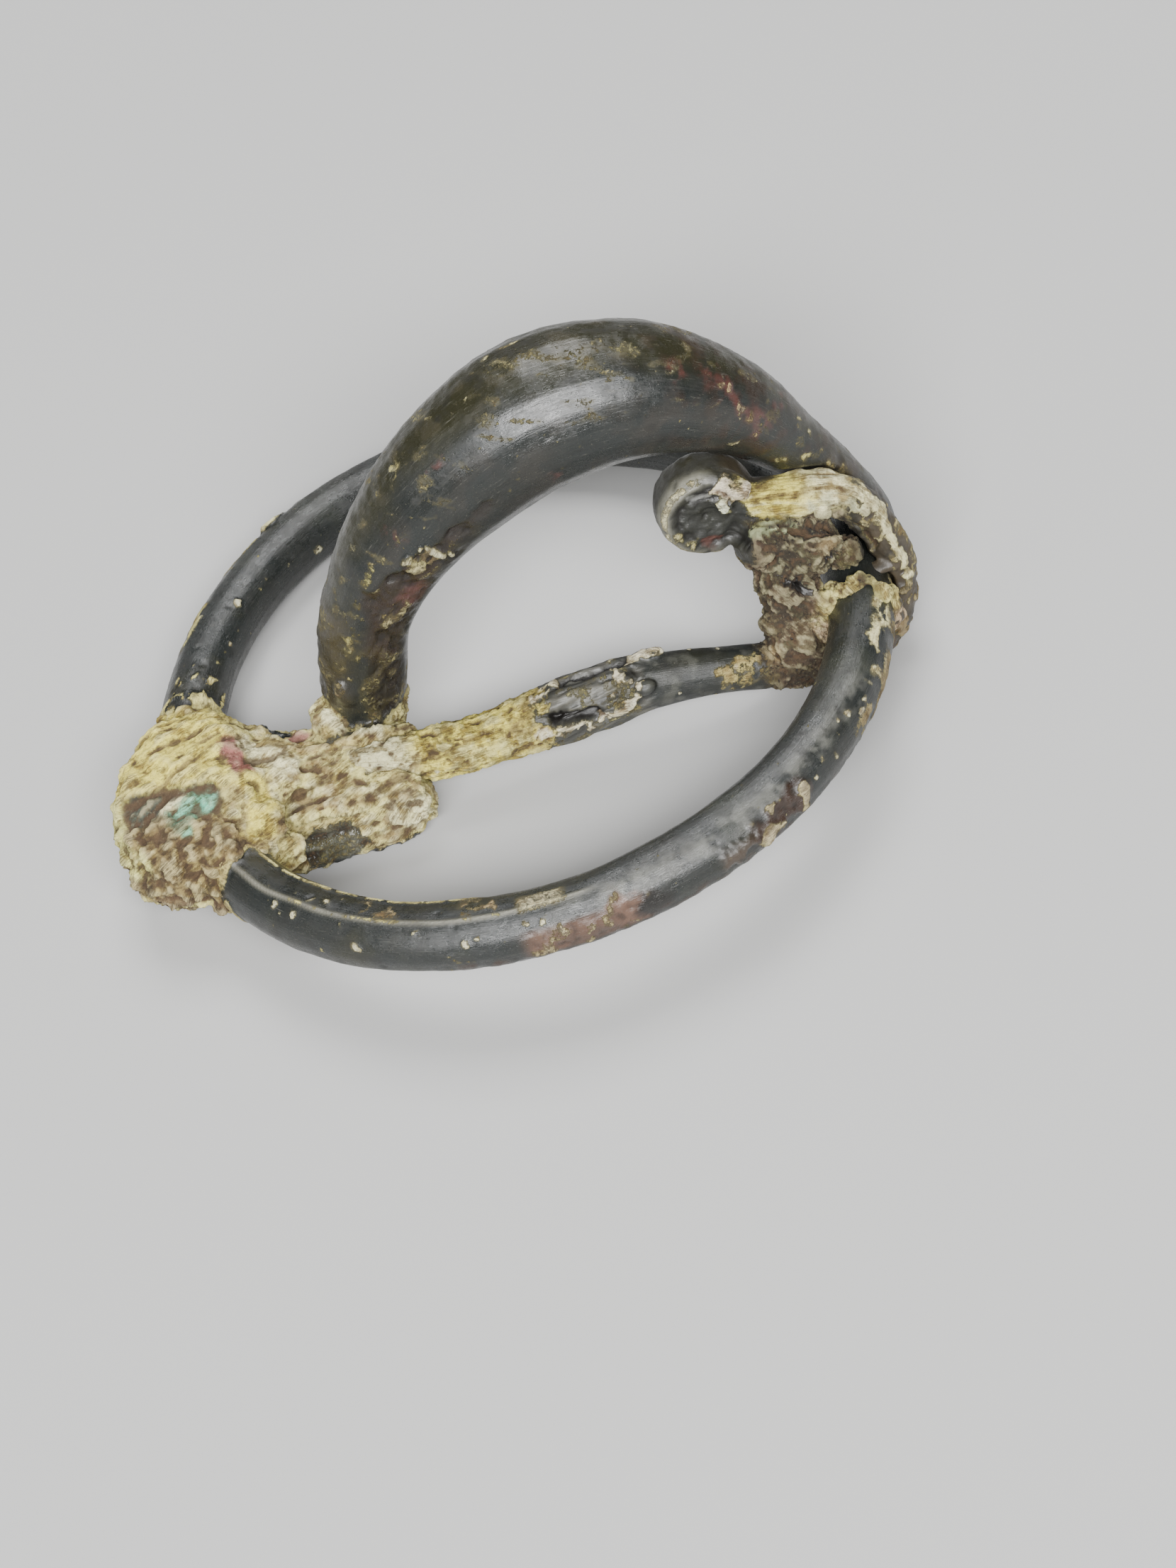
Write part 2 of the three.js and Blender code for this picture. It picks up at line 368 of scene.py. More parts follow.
class Graph:
    """A small helper that adds and links shader nodes."""

    def __init__(self, name):
        self.material = bpy.data.materials.new(name)
        self.material.use_nodes = True
        self.nodes = self.material.node_tree.nodes
        self.links = self.material.node_tree.links
        self.shader = self.nodes["Principled BSDF"]

    def add(self, kind, inputs=(), **settings):
        node = self.nodes.new(kind)
        for key, value in settings.items():
            setattr(node, key, value)
        for socket, value in dict(inputs).items():
            if isinstance(value, bpy.types.NodeSocket):
                self.links.new(value, node.inputs[socket])
            else:
                node.inputs[socket].default_value = value
        return node

    def attribute(self, name, output):
        return self.add('ShaderNodeAttribute', attribute_name=name).outputs[output]

    def noise(self, scale, detail, rough, vector):
        inputs = {"Scale": scale, "Detail": detail, "Roughness": rough, "Vector": vector}
        return self.add('ShaderNodeTexNoise', inputs).outputs["Fac"]

    def ramp(self, value, low, high, start=0.0, end=1.0):
        node = self.add('ShaderNodeMapRange',
            {"Value": value, "From Min": low, "From Max": high, "To Min": start, "To Max": end},
            interpolation_type='SMOOTHSTEP')
        return node.outputs["Result"]

    def math(self, operation, a, b=0.0, c=0.0):
        return self.add('ShaderNodeMath', {0: a, 1: b, 2: c}, operation=operation).outputs[0]

    def off_middle(self, value, size):
        """A noise from 0 to 1 made to swing about nought."""
        return self.math('MULTIPLY', self.math('SUBTRACT', value, 0.5), size)

    def mix(self, factor, a, b, blend='MIX'):
        node = self.add('ShaderNodeMix', {"Factor": factor, 6: a, 7: b}, data_type='RGBA', blend_type=blend)
        return node.outputs[2]

    def layers(self, colour, *layers):
        """A colour with others mixed over it, each where its noise runs from low to high, up to a share."""
        for noise, low, high, share, over in layers:
            colour = self.mix(self.ramp(noise, low, high, 0, share), colour, over)
        return colour

    def total(self, *terms):
        """The sum of terms, each a value or a value and its weight."""
        terms = [self.math('MULTIPLY', *term) if isinstance(term, tuple) else term for term in terms]
        result = terms[0]
        for term in terms[1:]:
            result = self.math('ADD', result, term)
        return result

    def blend(self, factor, a, b):
        return self.add('ShaderNodeMix', {"Factor": factor, 2: a, 3: b}, data_type='FLOAT').outputs[0]


def bronze_material(name, gloss_low, gloss_high):
    """Dark patinated bronze that turns to dull, grainy crust where the piece says so."""
    g = Graph(name)
    place = g.add('ShaderNodeTexCoord').outputs["Object"]
    flow = g.attribute("flow", "Vector")
    hollow = g.attribute("hollow", "Fac")
    per_mm = 1 / MM
    broad = g.noise(0.3 * per_mm, 5, 0.6, place)
    mottle = g.noise(1.2 * per_mm, 5, 0.65, place)
    fine = g.noise(4.0 * per_mm, 5, 0.7, place)
    grain = g.noise(13 * per_mm, 3, 0.6, place)
    lengthwise = g.add('ShaderNodeMapping', {"Vector": flow, "Scale": (0.35, 5.0, 1.0)}).outputs["Vector"]
    streaks = g.noise(1.0, 6, 0.7, lengthwise)
    slanting = g.add('ShaderNodeMapping',
        {"Vector": flow, "Rotation": (0, 0, math.radians(52)), "Scale": (0.7, 9.0, 1.0)}).outputs["Vector"]
    scratches = g.noise(1.0, 4, 0.75, slanting)

    # crust: a soft field that strong noise breaks into speckled edges, with a film of dust round it
    field = g.attribute("crust", "Fac")
    crust = g.ramp(g.total(field, g.off_middle(fine, 1.5), g.off_middle(grain, 0.5)), 0.38, 0.66)
    film = g.ramp(g.total(field, g.off_middle(mottle, 0.9)), 0.16, 0.75, 0, 0.45)

    tone = g.attribute("tone", "Color")
    # the last layer darkens the metal in the hollows of the relief: painted shade
    metal = g.layers(g.attribute("metal", "Color"),
                     (broad, 0.42, 0.66, 0.45, (0.014, 0.014, 0.011, 1)),
                     (mottle, 0.52, 0.74, 0.6, (0.005, 0.005, 0.0045, 1)),
                     (streaks, 0.58, 0.76, 0.3, (0.065, 0.063, 0.05, 1)),
                     (scratches, 0.61, 0.72, 0.45, (0.15, 0.145, 0.12, 1)),
                     (grain, 0.64, 0.74, 0.35, (0.22, 0.2, 0.15, 1)),
                     (hollow, 0.01, 0.07, 0.6, (0.006, 0.005, 0.004, 1)))
    metal = g.mix(film, metal, g.mix(1.0, tone, (0.26, 0.24, 0.18, 1), 'MULTIPLY'))

    shade = g.mix(1.0, tone, (0.36, 0.28, 0.15, 1), 'MULTIPLY')
    pale = g.mix(0.35, tone, (0.88, 0.83, 0.48, 1))
    crevice = g.ramp(g.math('ABSOLUTE', g.off_middle(streaks, 1.0)), 0.035, 0.008, 0, 0.75)
    crevice = g.math('MULTIPLY', crevice, g.ramp(mottle, 0.4, 0.56))
    # the crust is paler on the ridges of the relief and darker in its dips: a painted highlight and painted
    # shade
    dip_shade = g.total(hollow, g.off_middle(fine, 0.1))
    crust_colour = g.layers(tone, (mottle, 0.46, 0.64, 0.85, shade), (streaks, 0.48, 0.66, 0.55, shade),
                            (fine, 0.52, 0.68, 0.55, shade), (fine, 0.44, 0.3, 0.5, pale),
                            (hollow, -0.01, -0.07, 0.5, pale),
                            (dip_shade, 0.015, 0.075, 0.85, (0.075, 0.042, 0.018, 1)),
                            (grain, 0.58, 0.72, 0.5, (0.13, 0.085, 0.035, 1)))
    crust_colour = g.mix(crevice, crust_colour, (0.07, 0.042, 0.016, 1))

    base = g.mix(crust, metal, crust_colour)
    worn_sheen = g.total(g.off_middle(streaks, 0.5), g.off_middle(scratches, 0.4), mottle)
    rough_metal = g.total(g.ramp(worn_sheen, 0.3, 0.75, gloss_low, gloss_high), (film, 0.5))
    rough = g.blend(crust, rough_metal, CRUST_ROUGHNESS)
    metal_relief = g.total((fine, 0.17), (scratches, 0.2), (streaks, 0.16))
    crust_relief = g.math('SUBTRACT', g.total((grain, 0.6), (streaks, 2.0), (fine, 2.0)),
        g.math('MULTIPLY', crevice, 0.5))
    bump = g.add('ShaderNodeBump', {"Height": g.blend(crust, metal_relief, crust_relief),
        "Distance": BUMP_DISTANCE, "Strength": 0.85})

    g.links.new(base, g.shader.inputs["Base Color"])
    g.links.new(rough, g.shader.inputs["Roughness"])
    g.links.new(bump.outputs["Normal"], g.shader.inputs["Normal"])
    g.shader.inputs["Metallic"].default_value = 0.0
    g.shader.inputs["IOR"].default_value = PATINA_IOR
    return g.material


# ---- ring ----
def ring_radius(turn):
    """The radius of the hand-bent ring's middle line at an angle round it."""
    waves = sum(even * np.cos(n * turn) + odd * np.sin(n * turn) for n, even, odd in RING_WAVES)
    return RING_RADIUS * (1 + waves)


def ring_angles(places):
    """The angle round the ring, and the angle round its rod: 0 outside, 90 degrees on top."""
    turn = np.arctan2(places[:, 1], places[:, 0])
    return turn, np.arctan2(places[:, 2], np.hypot(places[:, 0], places[:, 1]) - ring_radius(turn))


def on_ring(turn, rod, reach=ROD_RADIUS):
    """The place at two angles in degrees, on the rod or at another distance from its middle."""
    turn, rod = math.radians(turn), math.radians(rod)
    radius = ring_radius(turn) + reach * math.cos(rod)
    return radius * math.cos(turn), radius * math.sin(turn), reach * math.sin(rod)


def arc(turn, start, end, soft=6):
    """1 between two angles round the ring in degrees, falling off over soft degrees outside them."""
    middle = math.radians((start + end) / 2)
    half = math.radians((end - start) / 2)
    off = np.abs((turn - middle + np.pi) % (2 * np.pi) - np.pi)
    return step(half + math.radians(soft), half, off)


# White and cream flecks: the angle round the ring, the angle round the rod, and the size.
RING_FLECKS = ((-139, 59, 0.5), (-135, 56, 0.38), (-127, 58, 0.42), (-105, 45, 0.34), (-107, 36, 0.36),
               (-124, 30, 0.45), (-115, 56, 0.24), (-137, 92, 0.28), (-134, 88, 0.36), (-131, 94, 0.42),
               (-129, 110, 0.22), (-95, 46, 0.45), (-93, 31, 0.4), (-98, 50, 0.3), (-45, 10, 0.42),
               (-49, 20, 0.34), (-47, 33, 0.22), (-34, 30, 0.45), (-38, 40, 0.4), (-36, 22, 0.36),
               (-40, 52, 0.26), (-31, 36, 0.34), (152, 85, 0.26), (158, 93, 0.22), (150, 146, 0.28),
               (120, 172, 0.45), (141, 121, 0.45), (128, 150, 0.3), (134, 60, 0.3), (146, 70, 0.3),
               (60, 80, 0.3), (35, 60, 0.35), (82, 100, 0.25), (20, 85, 0.3))


def treat_ring(skin):
    p = skin.places
    turn, rod = ring_angles(p)
    skin.along, skin.around = turn * RING_RADIUS, rod
    slow = layered(p, 5.0, 11, 3)
    rough = layered(p, 1.1, 21, 4)
    fine = layered(p, 0.5, 31, 3)
    skin.height += 0.06 * slow + 0.01 * rough
    skin.stain(step(0.1, 0.9, slow + 0.4 * rough) * 0.55, OLIVE)
    skin.stain(step(0.2, 0.8, layered(p, 3.5, 15, 4)) * 0.55, LICHEN)

    # a worn flat runs along the top at the left front, between two pale edges
    front_left = arc(turn, -149, -90, 5)
    ridge_rod = math.radians(75) + 0.07 * perlin(p / 3.0, 16)
    ridge = np.exp(-((rod - ridge_rod) / 0.075) ** 2) * front_left
    inner_rod = math.radians(131) + 0.05 * perlin(p / 3.0, 17)
    inner = np.exp(-((rod - inner_rod) / 0.085) ** 2) * arc(turn, -149, -108, 6)
    skin.height += 0.1 * ridge + 0.12 * inner - 0.1 * front_left * band(rod, 103, 0.62, 0.2)
    skin.grow(ridge * arc(turn, -140, -93, 4) * step(-0.35, 0.3, rough) * 0.8, CREAM)
    # pale crust along the inner edge, which also stands as a painted highlight of that edge
    skin.grow(inner * step(-0.7, 0.0, rough) * 0.9, CREAM)
    # the metal along the ridge is lightened as a painted highlight
    skin.stain(ridge * 0.7, (0.24, 0.23, 0.18))
    for middle in (-122, -104):
        pinkish = arc(turn, middle - 3, middle + 3, 2.5) * band(rod, 104, 0.55, 0.2)
        skin.grow(pinkish * step(-0.15, 0.4, rough) * 0.62, (0.4, 0.24, 0.17), 0.02)
    skin.grow(arc(turn, -98, -92, 2) * band(rod, 88, 0.5, 0.2) * 0.6, (0.55, 0.5, 0.4), 0.02)

    # rubbed bright along the front right: worn patina, lightened further as a painted highlight
    rubbed_highlight = arc(turn, -84, -36, 9) * band(rod, 55, 0.55, 0.1)
    skin.stain(rubbed_highlight * step(-0.6, 0.5, rough + 0.5 * fine) * 0.7, (0.12, 0.12, 0.105))

    # flecks, and a hooked one low on the front
    for turned, up, size in RING_FLECKS:
        skin.grow(skin.patch(on_ring(turned, up), size * 0.9, 0.22, 0.7) * step(-0.8, 0.0, fine) * 0.9,
            (0.62, 0.6, 0.45), 0.06)
    hook = [on_ring(*at) for at in ((-110, 38), (-110.5, 16), (-109, 2), (-106.5, -2), (-105.5, 10))]
    skin.grow(skin.stroke(hook, 0.2, 0.2, 0.8) * step(-0.5, 0.3, fine) * 0.75, (0.44, 0.42, 0.33), 0.06)
    skin.grow(skin.specks(0.7, 0.07, 41, 0.26) * step(-0.3, 0.2, slow + 0.2) * 0.6, CREAM, 0.02)
    skin.grow(skin.specks(0.35, 0.08, 43) * 0.55, (0.55, 0.52, 0.38), 0.01)

    # pinkish scale low on the front, then brown lumps and pits along the outside to the head
    scale_zone = arc(turn, -97, -81, 3) * band(rod, 4, 0.65, 0.35)
    scale_zone = np.maximum(scale_zone, skin.patch(on_ring(-84, 30), 1.0, 0.5, 0.4))
    _, _, tag = cells(p + 0.3 * skin.warp, 0.8, 51)
    skin.stain(scale_zone, (0.1, 0.055, 0.036), 0.1 * rough + 0.14 * (tag - 0.5))
    skin.grow(scale_zone * step(-0.1, 0.4, rough + 0.6 * (tag - 0.5)) * 0.62, (0.27, 0.18, 0.14), 0.04)
    skin.stain(skin.patch(on_ring(-79, 3), (1.3, 1.0, 1.0), 0.4), SOOT_AND_SHADOW)
    blob = skin.patch(on_ring(-65, 8), (1.5, 1.0, 0.8), 0.4, 0.6)
    skin.stain(blob, (0.045, 0.032, 0.022), 0.3 + 0.12 * rough)
    skin.grow(skin.stroke([on_ring(-72, -18), on_ring(-69, -20)], 0.22, 0.2, 0.8) * 0.75,
        (0.42, 0.39, 0.31), 0.04)
    scab = skin.stroke([on_ring(-61, 12), on_ring(-57, 20), on_ring(-53, 14)], 1.0, 0.4)
    skin.stain(scab, UMBER, 0.1 + 0.2 * rough)
    skin.grow(scab * step(0.0, 0.45, rough), (0.34, 0.27, 0.17), 0.05)
    low = arc(turn, -105, -30, 10) * band(rod, -30, 0.5, 0.2)
    skin.stain(low * step(0.0, 0.5, rough + 0.3 * slow), UMBER)
    skin.height += low * 0.05 * rough

    # pale crust on top at the head, brown outside it, and a pale seam along the inner edge
    head_zone = arc(turn, -28, -14, 3) * band(rod + 0.2 * rough, 40, 0.55, 0.15)
    skin.grow(head_zone * step(-0.5, 0.3,
        fibres(p, (0.35, 0.93, 0.0), 0.6, 3, 61) + 0.4 * rough) * 0.8, CHALK, 0.06)
    brown_zone = arc(turn, -36, -2, 6) * band(rod, -12, 0.8, 0.3)
    skin.grow(brown_zone * step(-0.4, 0.3, rough) * 0.8, (0.22, 0.15, 0.085), 0.06)
    seam = arc(turn, -60, -22, 6) * band(rod, 165, 0.1, 0.03)
    skin.grow(seam * step(-0.3, 0.2, rough) * 0.8, (0.5, 0.46, 0.36), 0.03)

    # chalky crust along the outer edge at the back left, splinters where the rod enters the boss
    back_zone = arc(turn, 116, 150, 6) * band(rod + 0.3 * slow, 38, 0.5, 0.2)
    skin.grow(back_zone * step(-0.05, 0.45, layered(p, 1.4, 71, 4)) * 0.75, CREAM, 0.08)
    skin.grow(skin.patch(on_ring(122, 42), (0.9, 0.9, 0.7)), CHALK, 0.28)
    splinters = fibres(p, (0.5, 0.8, 0.0), 0.45, 4, 73)
    skin.grow(arc(turn, 161, 171, 2) * band(rod, 125, 1.3, 0.7) * step(0.1, 0.35, splinters), CREAM, 0.1)

    # crust creeps out of the boss onto the rod
    boss_zone = arc(turn + 0.04 * np.cos(rod - math.radians(100)), 168, 210.5, 1.5)
    skin.grow(boss_zone * step(-0.5, -0.1, rough + 0.4 * slow), CREAM, 0.12)
    skin.tint(boss_zone * arc(turn, 200, 225) * step(0.2, 0.7, rough + 0.5), SAND)
    pits, _, tag = cells(p, 1.0, 81)
    skin.height -= 0.045 * step(0.32, 0.05, pits + 0.15 * fine) * (tag < 0.18)


# ---- bow, foot boss and catch plate ----
def beads(turn, reach, count, size):
    """A wreath of crust lumps round the ring's rod."""
    return [(on_ring(turn + 0.9 * math.sin(2.3 * k), 360 * k / count, reach),
        size * (1 + 0.22 * math.sin(3.7 * k))) for k in range(count)]


# Crust lumps at the foot: place and reach.
FOOT_LUMPS = [
    ((-10.2, -0.8, 0.9), 1.0), ((-9.9, -1.6, 0.7), 0.8), ((-10.0, 0.4, 0.6), 1.1),
    ((-8.2, -2.5, 0.9), (1.5, 0.6, 0.5)), ((-6.5, -2.4, 0.4), (0.9, 0.6, 0.5)),
    ((-9.9, -4.0, 0.8), (1.2, 1.1, 0.6)), ((-8.6, -5.5, 0.3), (1.6, 0.6, 0.5)),
    ((-14.0, -3.2, 1.3), (2.0, 2.6, 1.1)), ((-12.0, -3.0, 0.8), (1.6, 2.0, 0.7)),
    ((-14.6, -0.3, 0.9), (1.2, 1.3, 0.9)), ((-15.0, -6.6, 1.2), (1.5, 1.2, 1.2)),
    ((-14.4, -7.2, -0.6), (1.3, 0.8, 1.2)), ((-7.3, -6.3, -1.2), (1.3, 0.8, 1.3)),
    ((-10.6, -6.0, 0.1), (3.2, 0.55, 0.4)), ((-8.4, -1.3, 3.4), (0.7, 0.5, 1.0))]


def foot_lumps():
    """Crust that seals the ring into the boss, the leg and the pin's tip onto the catch plate."""
    return beads(207, 1.75, 15, 0.52) + beads(204, 2.2, 14, 0.6) + beads(171, 1.7, 14, 0.48) + FOOT_LUMPS


# Fissures in the crust on the catch plate.
PLATE_FISSURES = (
    ((-13.6, -5.6, 0.2), (-11.6, -5.5, 0.5)), ((-9.9, -5.2, 1.0), (-8.6, -6.0, 0.4), (-6.0, -5.4, -0.7)),
    ((-10.3, -4.9, 1.2), (-9.5, -5.1, 1.2)), ((-10.8, -2.1, 1.5), (-9.4, -2.5, 1.5)),
    ((-12.6, -3.9, 1.5), (-11.0, -4.2, 1.4)))


def treat_foot(skin, foot):
    """The thick crust over the boss and the catch plate."""
    p = skin.places
    y, z = p[:, 1], p[:, 2]
    lumpy = layered(p, 2.0, 151, 5, 0.55)
    rough = layered(p, 0.9, 155, 4, 0.6)
    across = fibres(p, (0.9, 0.45, 0.0), 0.55, 5, 157)
    along = fibres(p, (1.0, 0.1, 0.0), 0.6, 6, 159)
    first, second, tag = cells(p + 0.35 * skin.warp, 0.6, 161)
    cracked = step(0.14, 0.0, second - first)
    on_boss = step(-14.6, -16.0, p[:, 0] + 0.3 * skin.warp[:, 0])

    skin.along += foot * (p @ (0.9, 0.42, 0.0) - skin.along)
    skin.around += foot * ((p @ (-0.42, 0.9, 0.0) + 0.6 * z) / 3 - skin.around)
    skin.grow(foot, CREAM)
    skin.tint(foot * step(-0.1, 0.5, lumpy) * 0.8, SAND)
    skin.tint(foot * step(0.15, 0.5, layered(p, 1.5, 163, 5, 0.6)) * 0.85, (0.25, 0.17, 0.065))
    skin.tint(foot * step(0.1, 0.6, rough) * 0.6, CHALK)
    skin.height += foot * (0.18 * lumpy + 0.14 * rough)
    plate_grain = foot * (1 - on_boss)
    skin.height += plate_grain * (0.17 * along - 0.1 * groove(along + 0.3 * rough, 0.08))
    skin.tint(plate_grain * step(-0.3, -0.6, along + 0.3 * rough) * 0.75, (0.13, 0.095, 0.04))

    # tan and brown scale over the near side of the boss
    scale = foot * on_boss * step(-5.9, -6.9, p[:, 1] + 0.35 * (p[:, 0] + 18) + 0.5 * skin.warp[:, 1])
    skin.tint(scale, TAN)
    skin.tint(scale * step(0.65, 0.85, tag) * 0.7, SAND)
    skin.tint(scale * step(0.3, 0.15, tag) * 0.9, (0.11, 0.072, 0.03))
    skin.height += scale * (0.22 * (tag - 0.5) + 0.15 * rough - 0.1 * cracked)
    skin.tint(scale * step(0.15, 0.5, rough) * 0.6, (0.48, 0.38, 0.17))
    skin.tint(scale * cracked * 0.8, (0.045, 0.028, 0.012))

    # a raised yellow sheet with a slanting grain over the far top, and the hollow under its edge
    sheet = (foot * on_boss * step(-4.6, -4.1, p[:, 1] + 0.22 * (p[:, 0] + 19) + 0.35 * skin.warp[:, 0])
        * step(0.6, 1.6, z))
    skin.tint(sheet, YELLOW)
    skin.tint(sheet * step(0.2, 0.6, across) * 0.6, CREAM)
    skin.tint(sheet * step(-0.3, -0.6, across) * 0.8, TAN)
    skin.height += sheet * (0.2 + 0.15 * across)
    bare = foot * skin.stroke(((-21.4, -4.7, 2.9), (-19.9, -5.2, 3.3), (-18.4, -5.4, 3.5),
        (-17.3, -5.6, 3.5)), 1.35, 0.55, 0.6)
    edge = foot * skin.stroke(((-21.5, -3.9, 3.1), (-19.2, -4.3, 3.7), (-16.9, -5.0, 3.5)), 0.5, 0.25)
    hollowed = np.maximum(bare, edge) * (1 - sheet)
    skin.tint(hollowed, (0.07, 0.082, 0.058), -0.24)
    skin.tint(hollowed * step(0.0, 0.4, across + 0.4 * rough) * 0.8, (0.17, 0.14, 0.085))
    skin.tint(hollowed * step(-0.25, -0.55, across + 0.4 * rough) * 0.9, (0.018, 0.017, 0.011))
    skin.height += hollowed * 0.14 * across
    skin.tint(edge * (1 - sheet) * 0.85, (0.014, 0.012, 0.007))
    skin.grow(foot * skin.stroke(((-19.6, -5.6, 3.4), (-18.4, -5.3, 3.5)), 0.38, 0.15)
        * step(-0.5, 0.0, across), CHALK, 0.08)
    green = foot * skin.stroke(((-18.9, -6.6, 3.3), (-18.1, -6.1, 3.5), (-17.4, -5.6, 3.5)),
        0.95, 0.35, 0.6)
    skin.grow(green * step(-0.6, 0.1, across), TURQUOISE, 0.1)
    skin.tint(green * step(0.1, 0.4, across) * 0.8, (0.26, 0.6, 0.4))
    skin.tint(green * step(-0.15, -0.45, across) * 0.8, (0.05, 0.16, 0.1))

    # cream down the left side, the crust darker brown towards the boss's bottom, with a pale rim by the
    # table
    left = foot * skin.stroke(((-22.4, -3.9, 2.4), (-22.3, -5.4, 1.8), (-21.6, -7.2, 1.6)), 1.15, 0.4)
    skin.tint(left, (0.68, 0.65, 0.22), 0.08)
    under = foot * step(0.4, -0.6, z + 0.4 * rough) * on_boss
    skin.tint(under * 0.75, (0.14, 0.09, 0.05))
    skin.tint(under * step(0.15, 0.4, lumpy + 0.3 * rough), SAND)
    rim = foot * on_boss * step(0.45, 0.15, np.abs(z + 1.2 - 0.3 * lumpy))
    skin.tint(rim * step(-0.3, 0.1, rough), CREAM)

    behind = foot * on_boss * step(1.0, 3.0, y)
    skin.tint(behind * step(-0.4, 0.4, lumpy) * 0.8, TAN)

    # where boss and plate meet: pink stain, chalk and the strongest yellow
    skin.tint(foot * skin.stroke(((-15.4, -1.9, 3.4), (-15.2, -4.1, 3.2)), 0.75, 0.3, 0.4),
        (0.33, 0.12, 0.1))
    skin.tint(foot * skin.stroke(((-14.5, -2.0, 2.6), (-13.0, -3.6, 1.9)), 0.95, 0.4), CHALK)
    skin.tint(foot * skin.stroke(((-14.7, -4.9, 2.8), (-14.4, -6.2, 2.4), (-15.0, -7.6, 1.9)),
        1.0, 0.35), YELLOW)
    near_mouth = foot * skin.patch((-16.9, -9.7, 1.4), (1.6, 1.3, 1.6), 0.4)
    skin.tint(near_mouth * step(-0.3, 0.3, rough), SAND)

    # the plate: sandy and fissured on top, pink at its far edge, a pale ledge over its bare face
    top = foot * skin.patch((-10.9, -2.9, 1.2), (2.9, 1.9, 1.0), 0.5)
    skin.tint(top * step(-0.3, 0.3, along) * 0.85, (0.42, 0.31, 0.12))
    skin.tint(top * step(0.3, 0.0, np.abs(rough)) * step(0.2, 0.5, lumpy) * 0.6, (0.36, 0.22, 0.11))
    skin.tint(foot * skin.patch((-12.1, -0.7, 0.8), (0.9, 0.7, 0.7)), (0.28, 0.13, 0.1))
    far_edge = foot * skin.patch((-13.2, 0.2, 0.9), (1.5, 0.6, 0.8), 0.3, 0.4)
    skin.strip(far_edge * 0.9, 0.05)
    skin.grow(foot * skin.stroke(((-10.2, -0.7, 2.4), (-10.0, -0.9, 1.4), (-9.2, -2.0, 1.4),
        (-7.6, -2.6, 1.4)), 0.5, 0.15), CHALK, 0.1)
    for line in PLATE_FISSURES:
        line_dark = foot * skin.stroke(line, 0.24, 0.15, 0.6)
        skin.tint(line_dark, (0.07, 0.05, 0.02), -0.22)
    ledge = foot * skin.stroke(((-13.9, -6.3, 0.0), (-11.3, -6.2, 0.1), (-8.6, -6.6, -0.6)), 0.4, 0.2)
    skin.tint(ledge, CREAM, 0.16)
    face = (foot * skin.patch((-11.7, -6.7, -2.1), (2.1, 1.2, 1.6), 0.35, 0.25)
        * step(-0.3, -0.8, z + 0.15 * rough))
    skin.strip(face, 0.12)
    skin.stain(face, (0.055, 0.058, 0.048))
    skin.stain(face * step(0.1, 0.5, rough) * 0.6, (0.13, 0.13, 0.105))
    skin.grow(face * 0.46, (0.036, 0.037, 0.031))
    end = foot * skin.patch((-7.3, -6.4, -1.6), (1.7, 1.3, 1.7), 0.4)
    skin.tint(end, CHALK, 0.14 * rough)
    first_lump = foot * skin.patch((-14.5, -7.1, -0.6), (1.5, 1.0, 1.5), 0.4)
    skin.tint(first_lump, CREAM, 0.14 * rough)

    # underneath, dark metal shows through thinner crust
    hidden = foot * step(-3.2, -3.6, z + 0.3 * rough) * step(-0.4, 0.3, lumpy)
    skin.strip(hidden * 0.85)


# Rust showing in the bow's patina: place and reach.
RUST_BLOTCHES = (
    ((16.9, -1.8, 12.6), (0.9, 1.0, 1.4)), ((16.1, -2.0, 13.4), 0.7), ((15.2, -1.2, 16.2), 1.0),
    ((15.7, -1.6, 15.2), 0.9), ((17.3, -0.9, 11.4), (0.9, 0.9, 1.2)), ((6.0, -3.3, 14.9), 0.55),
    ((13.4, -1.2, 17.2), 0.9), ((18.4, -0.4, 12.4), 0.6), ((-2.9, -2.1, 13.6), (1.0, 0.6, 0.8)),
    ((0.4, -2.1, 17.0), (0.8, 0.5, 0.5)))
# Raised rust in the middle of those: place and reach.
RUST_SCABS = (
    ((16.8, -1.9, 12.4), (0.35, 0.4, 0.9)), ((16.1, -2.1, 13.3), 0.35), ((15.1, -1.2, 16.4), 0.35),
    ((18.4, -0.4, 12.6), 0.4), ((-2.9, -2.1, 13.7), 0.4))
# The edge where the smooth patina of the leg's inner side ends.
LEG_RIM = (
    (-4.3, -2.5, 11.0), (-3.2, -2.7, 11.7), (-2.4, -2.9, 12.4), (-1.6, -2.9, 12.6), (-0.9, -2.6, 11.7),
    (-0.3, -2.1, 11.6))
# Cream smears and ovals on the bow: line and half width.
BOW_SMEARS = (
    (((4.4, 1.8, 19.5), (5.3, 1.9, 19.8), (6.6, 2.0, 20.1)), 0.34),
    (((13.3, 0.0, 18.3), (14.2, -0.2, 17.9)), 0.28), (((9.9, -0.2, 19.7), (10.4, -0.1, 19.6)), 0.2),
    (((11.4, 1.3, 19.2), (12.3, 1.3, 18.9)), 0.18), (((7.0, 0.1, 20.1), (7.5, -0.1, 20.1)), 0.34),
    (((6.9, -1.2, 19.7), (7.5, -1.1, 19.7)), 0.26), (((5.0, -0.2, 19.9), (5.6, -0.3, 20.0)), 0.28),
    (((8.5, -1.9, 19.1), (9.1, -2.1, 19.0)), 0.12), (((10.0, -1.5, 19.1), (10.7, -1.7, 18.9)), 0.12),
    (((15.1, -2.1, 12.2), (15.7, -2.2, 12.0)), 0.34), (((19.1, -0.4, 11.0), (19.3, -0.4, 10.6)), 0.22),
    (((19.4, -0.4, 9.9), (19.6, -0.5, 9.5)), 0.24))


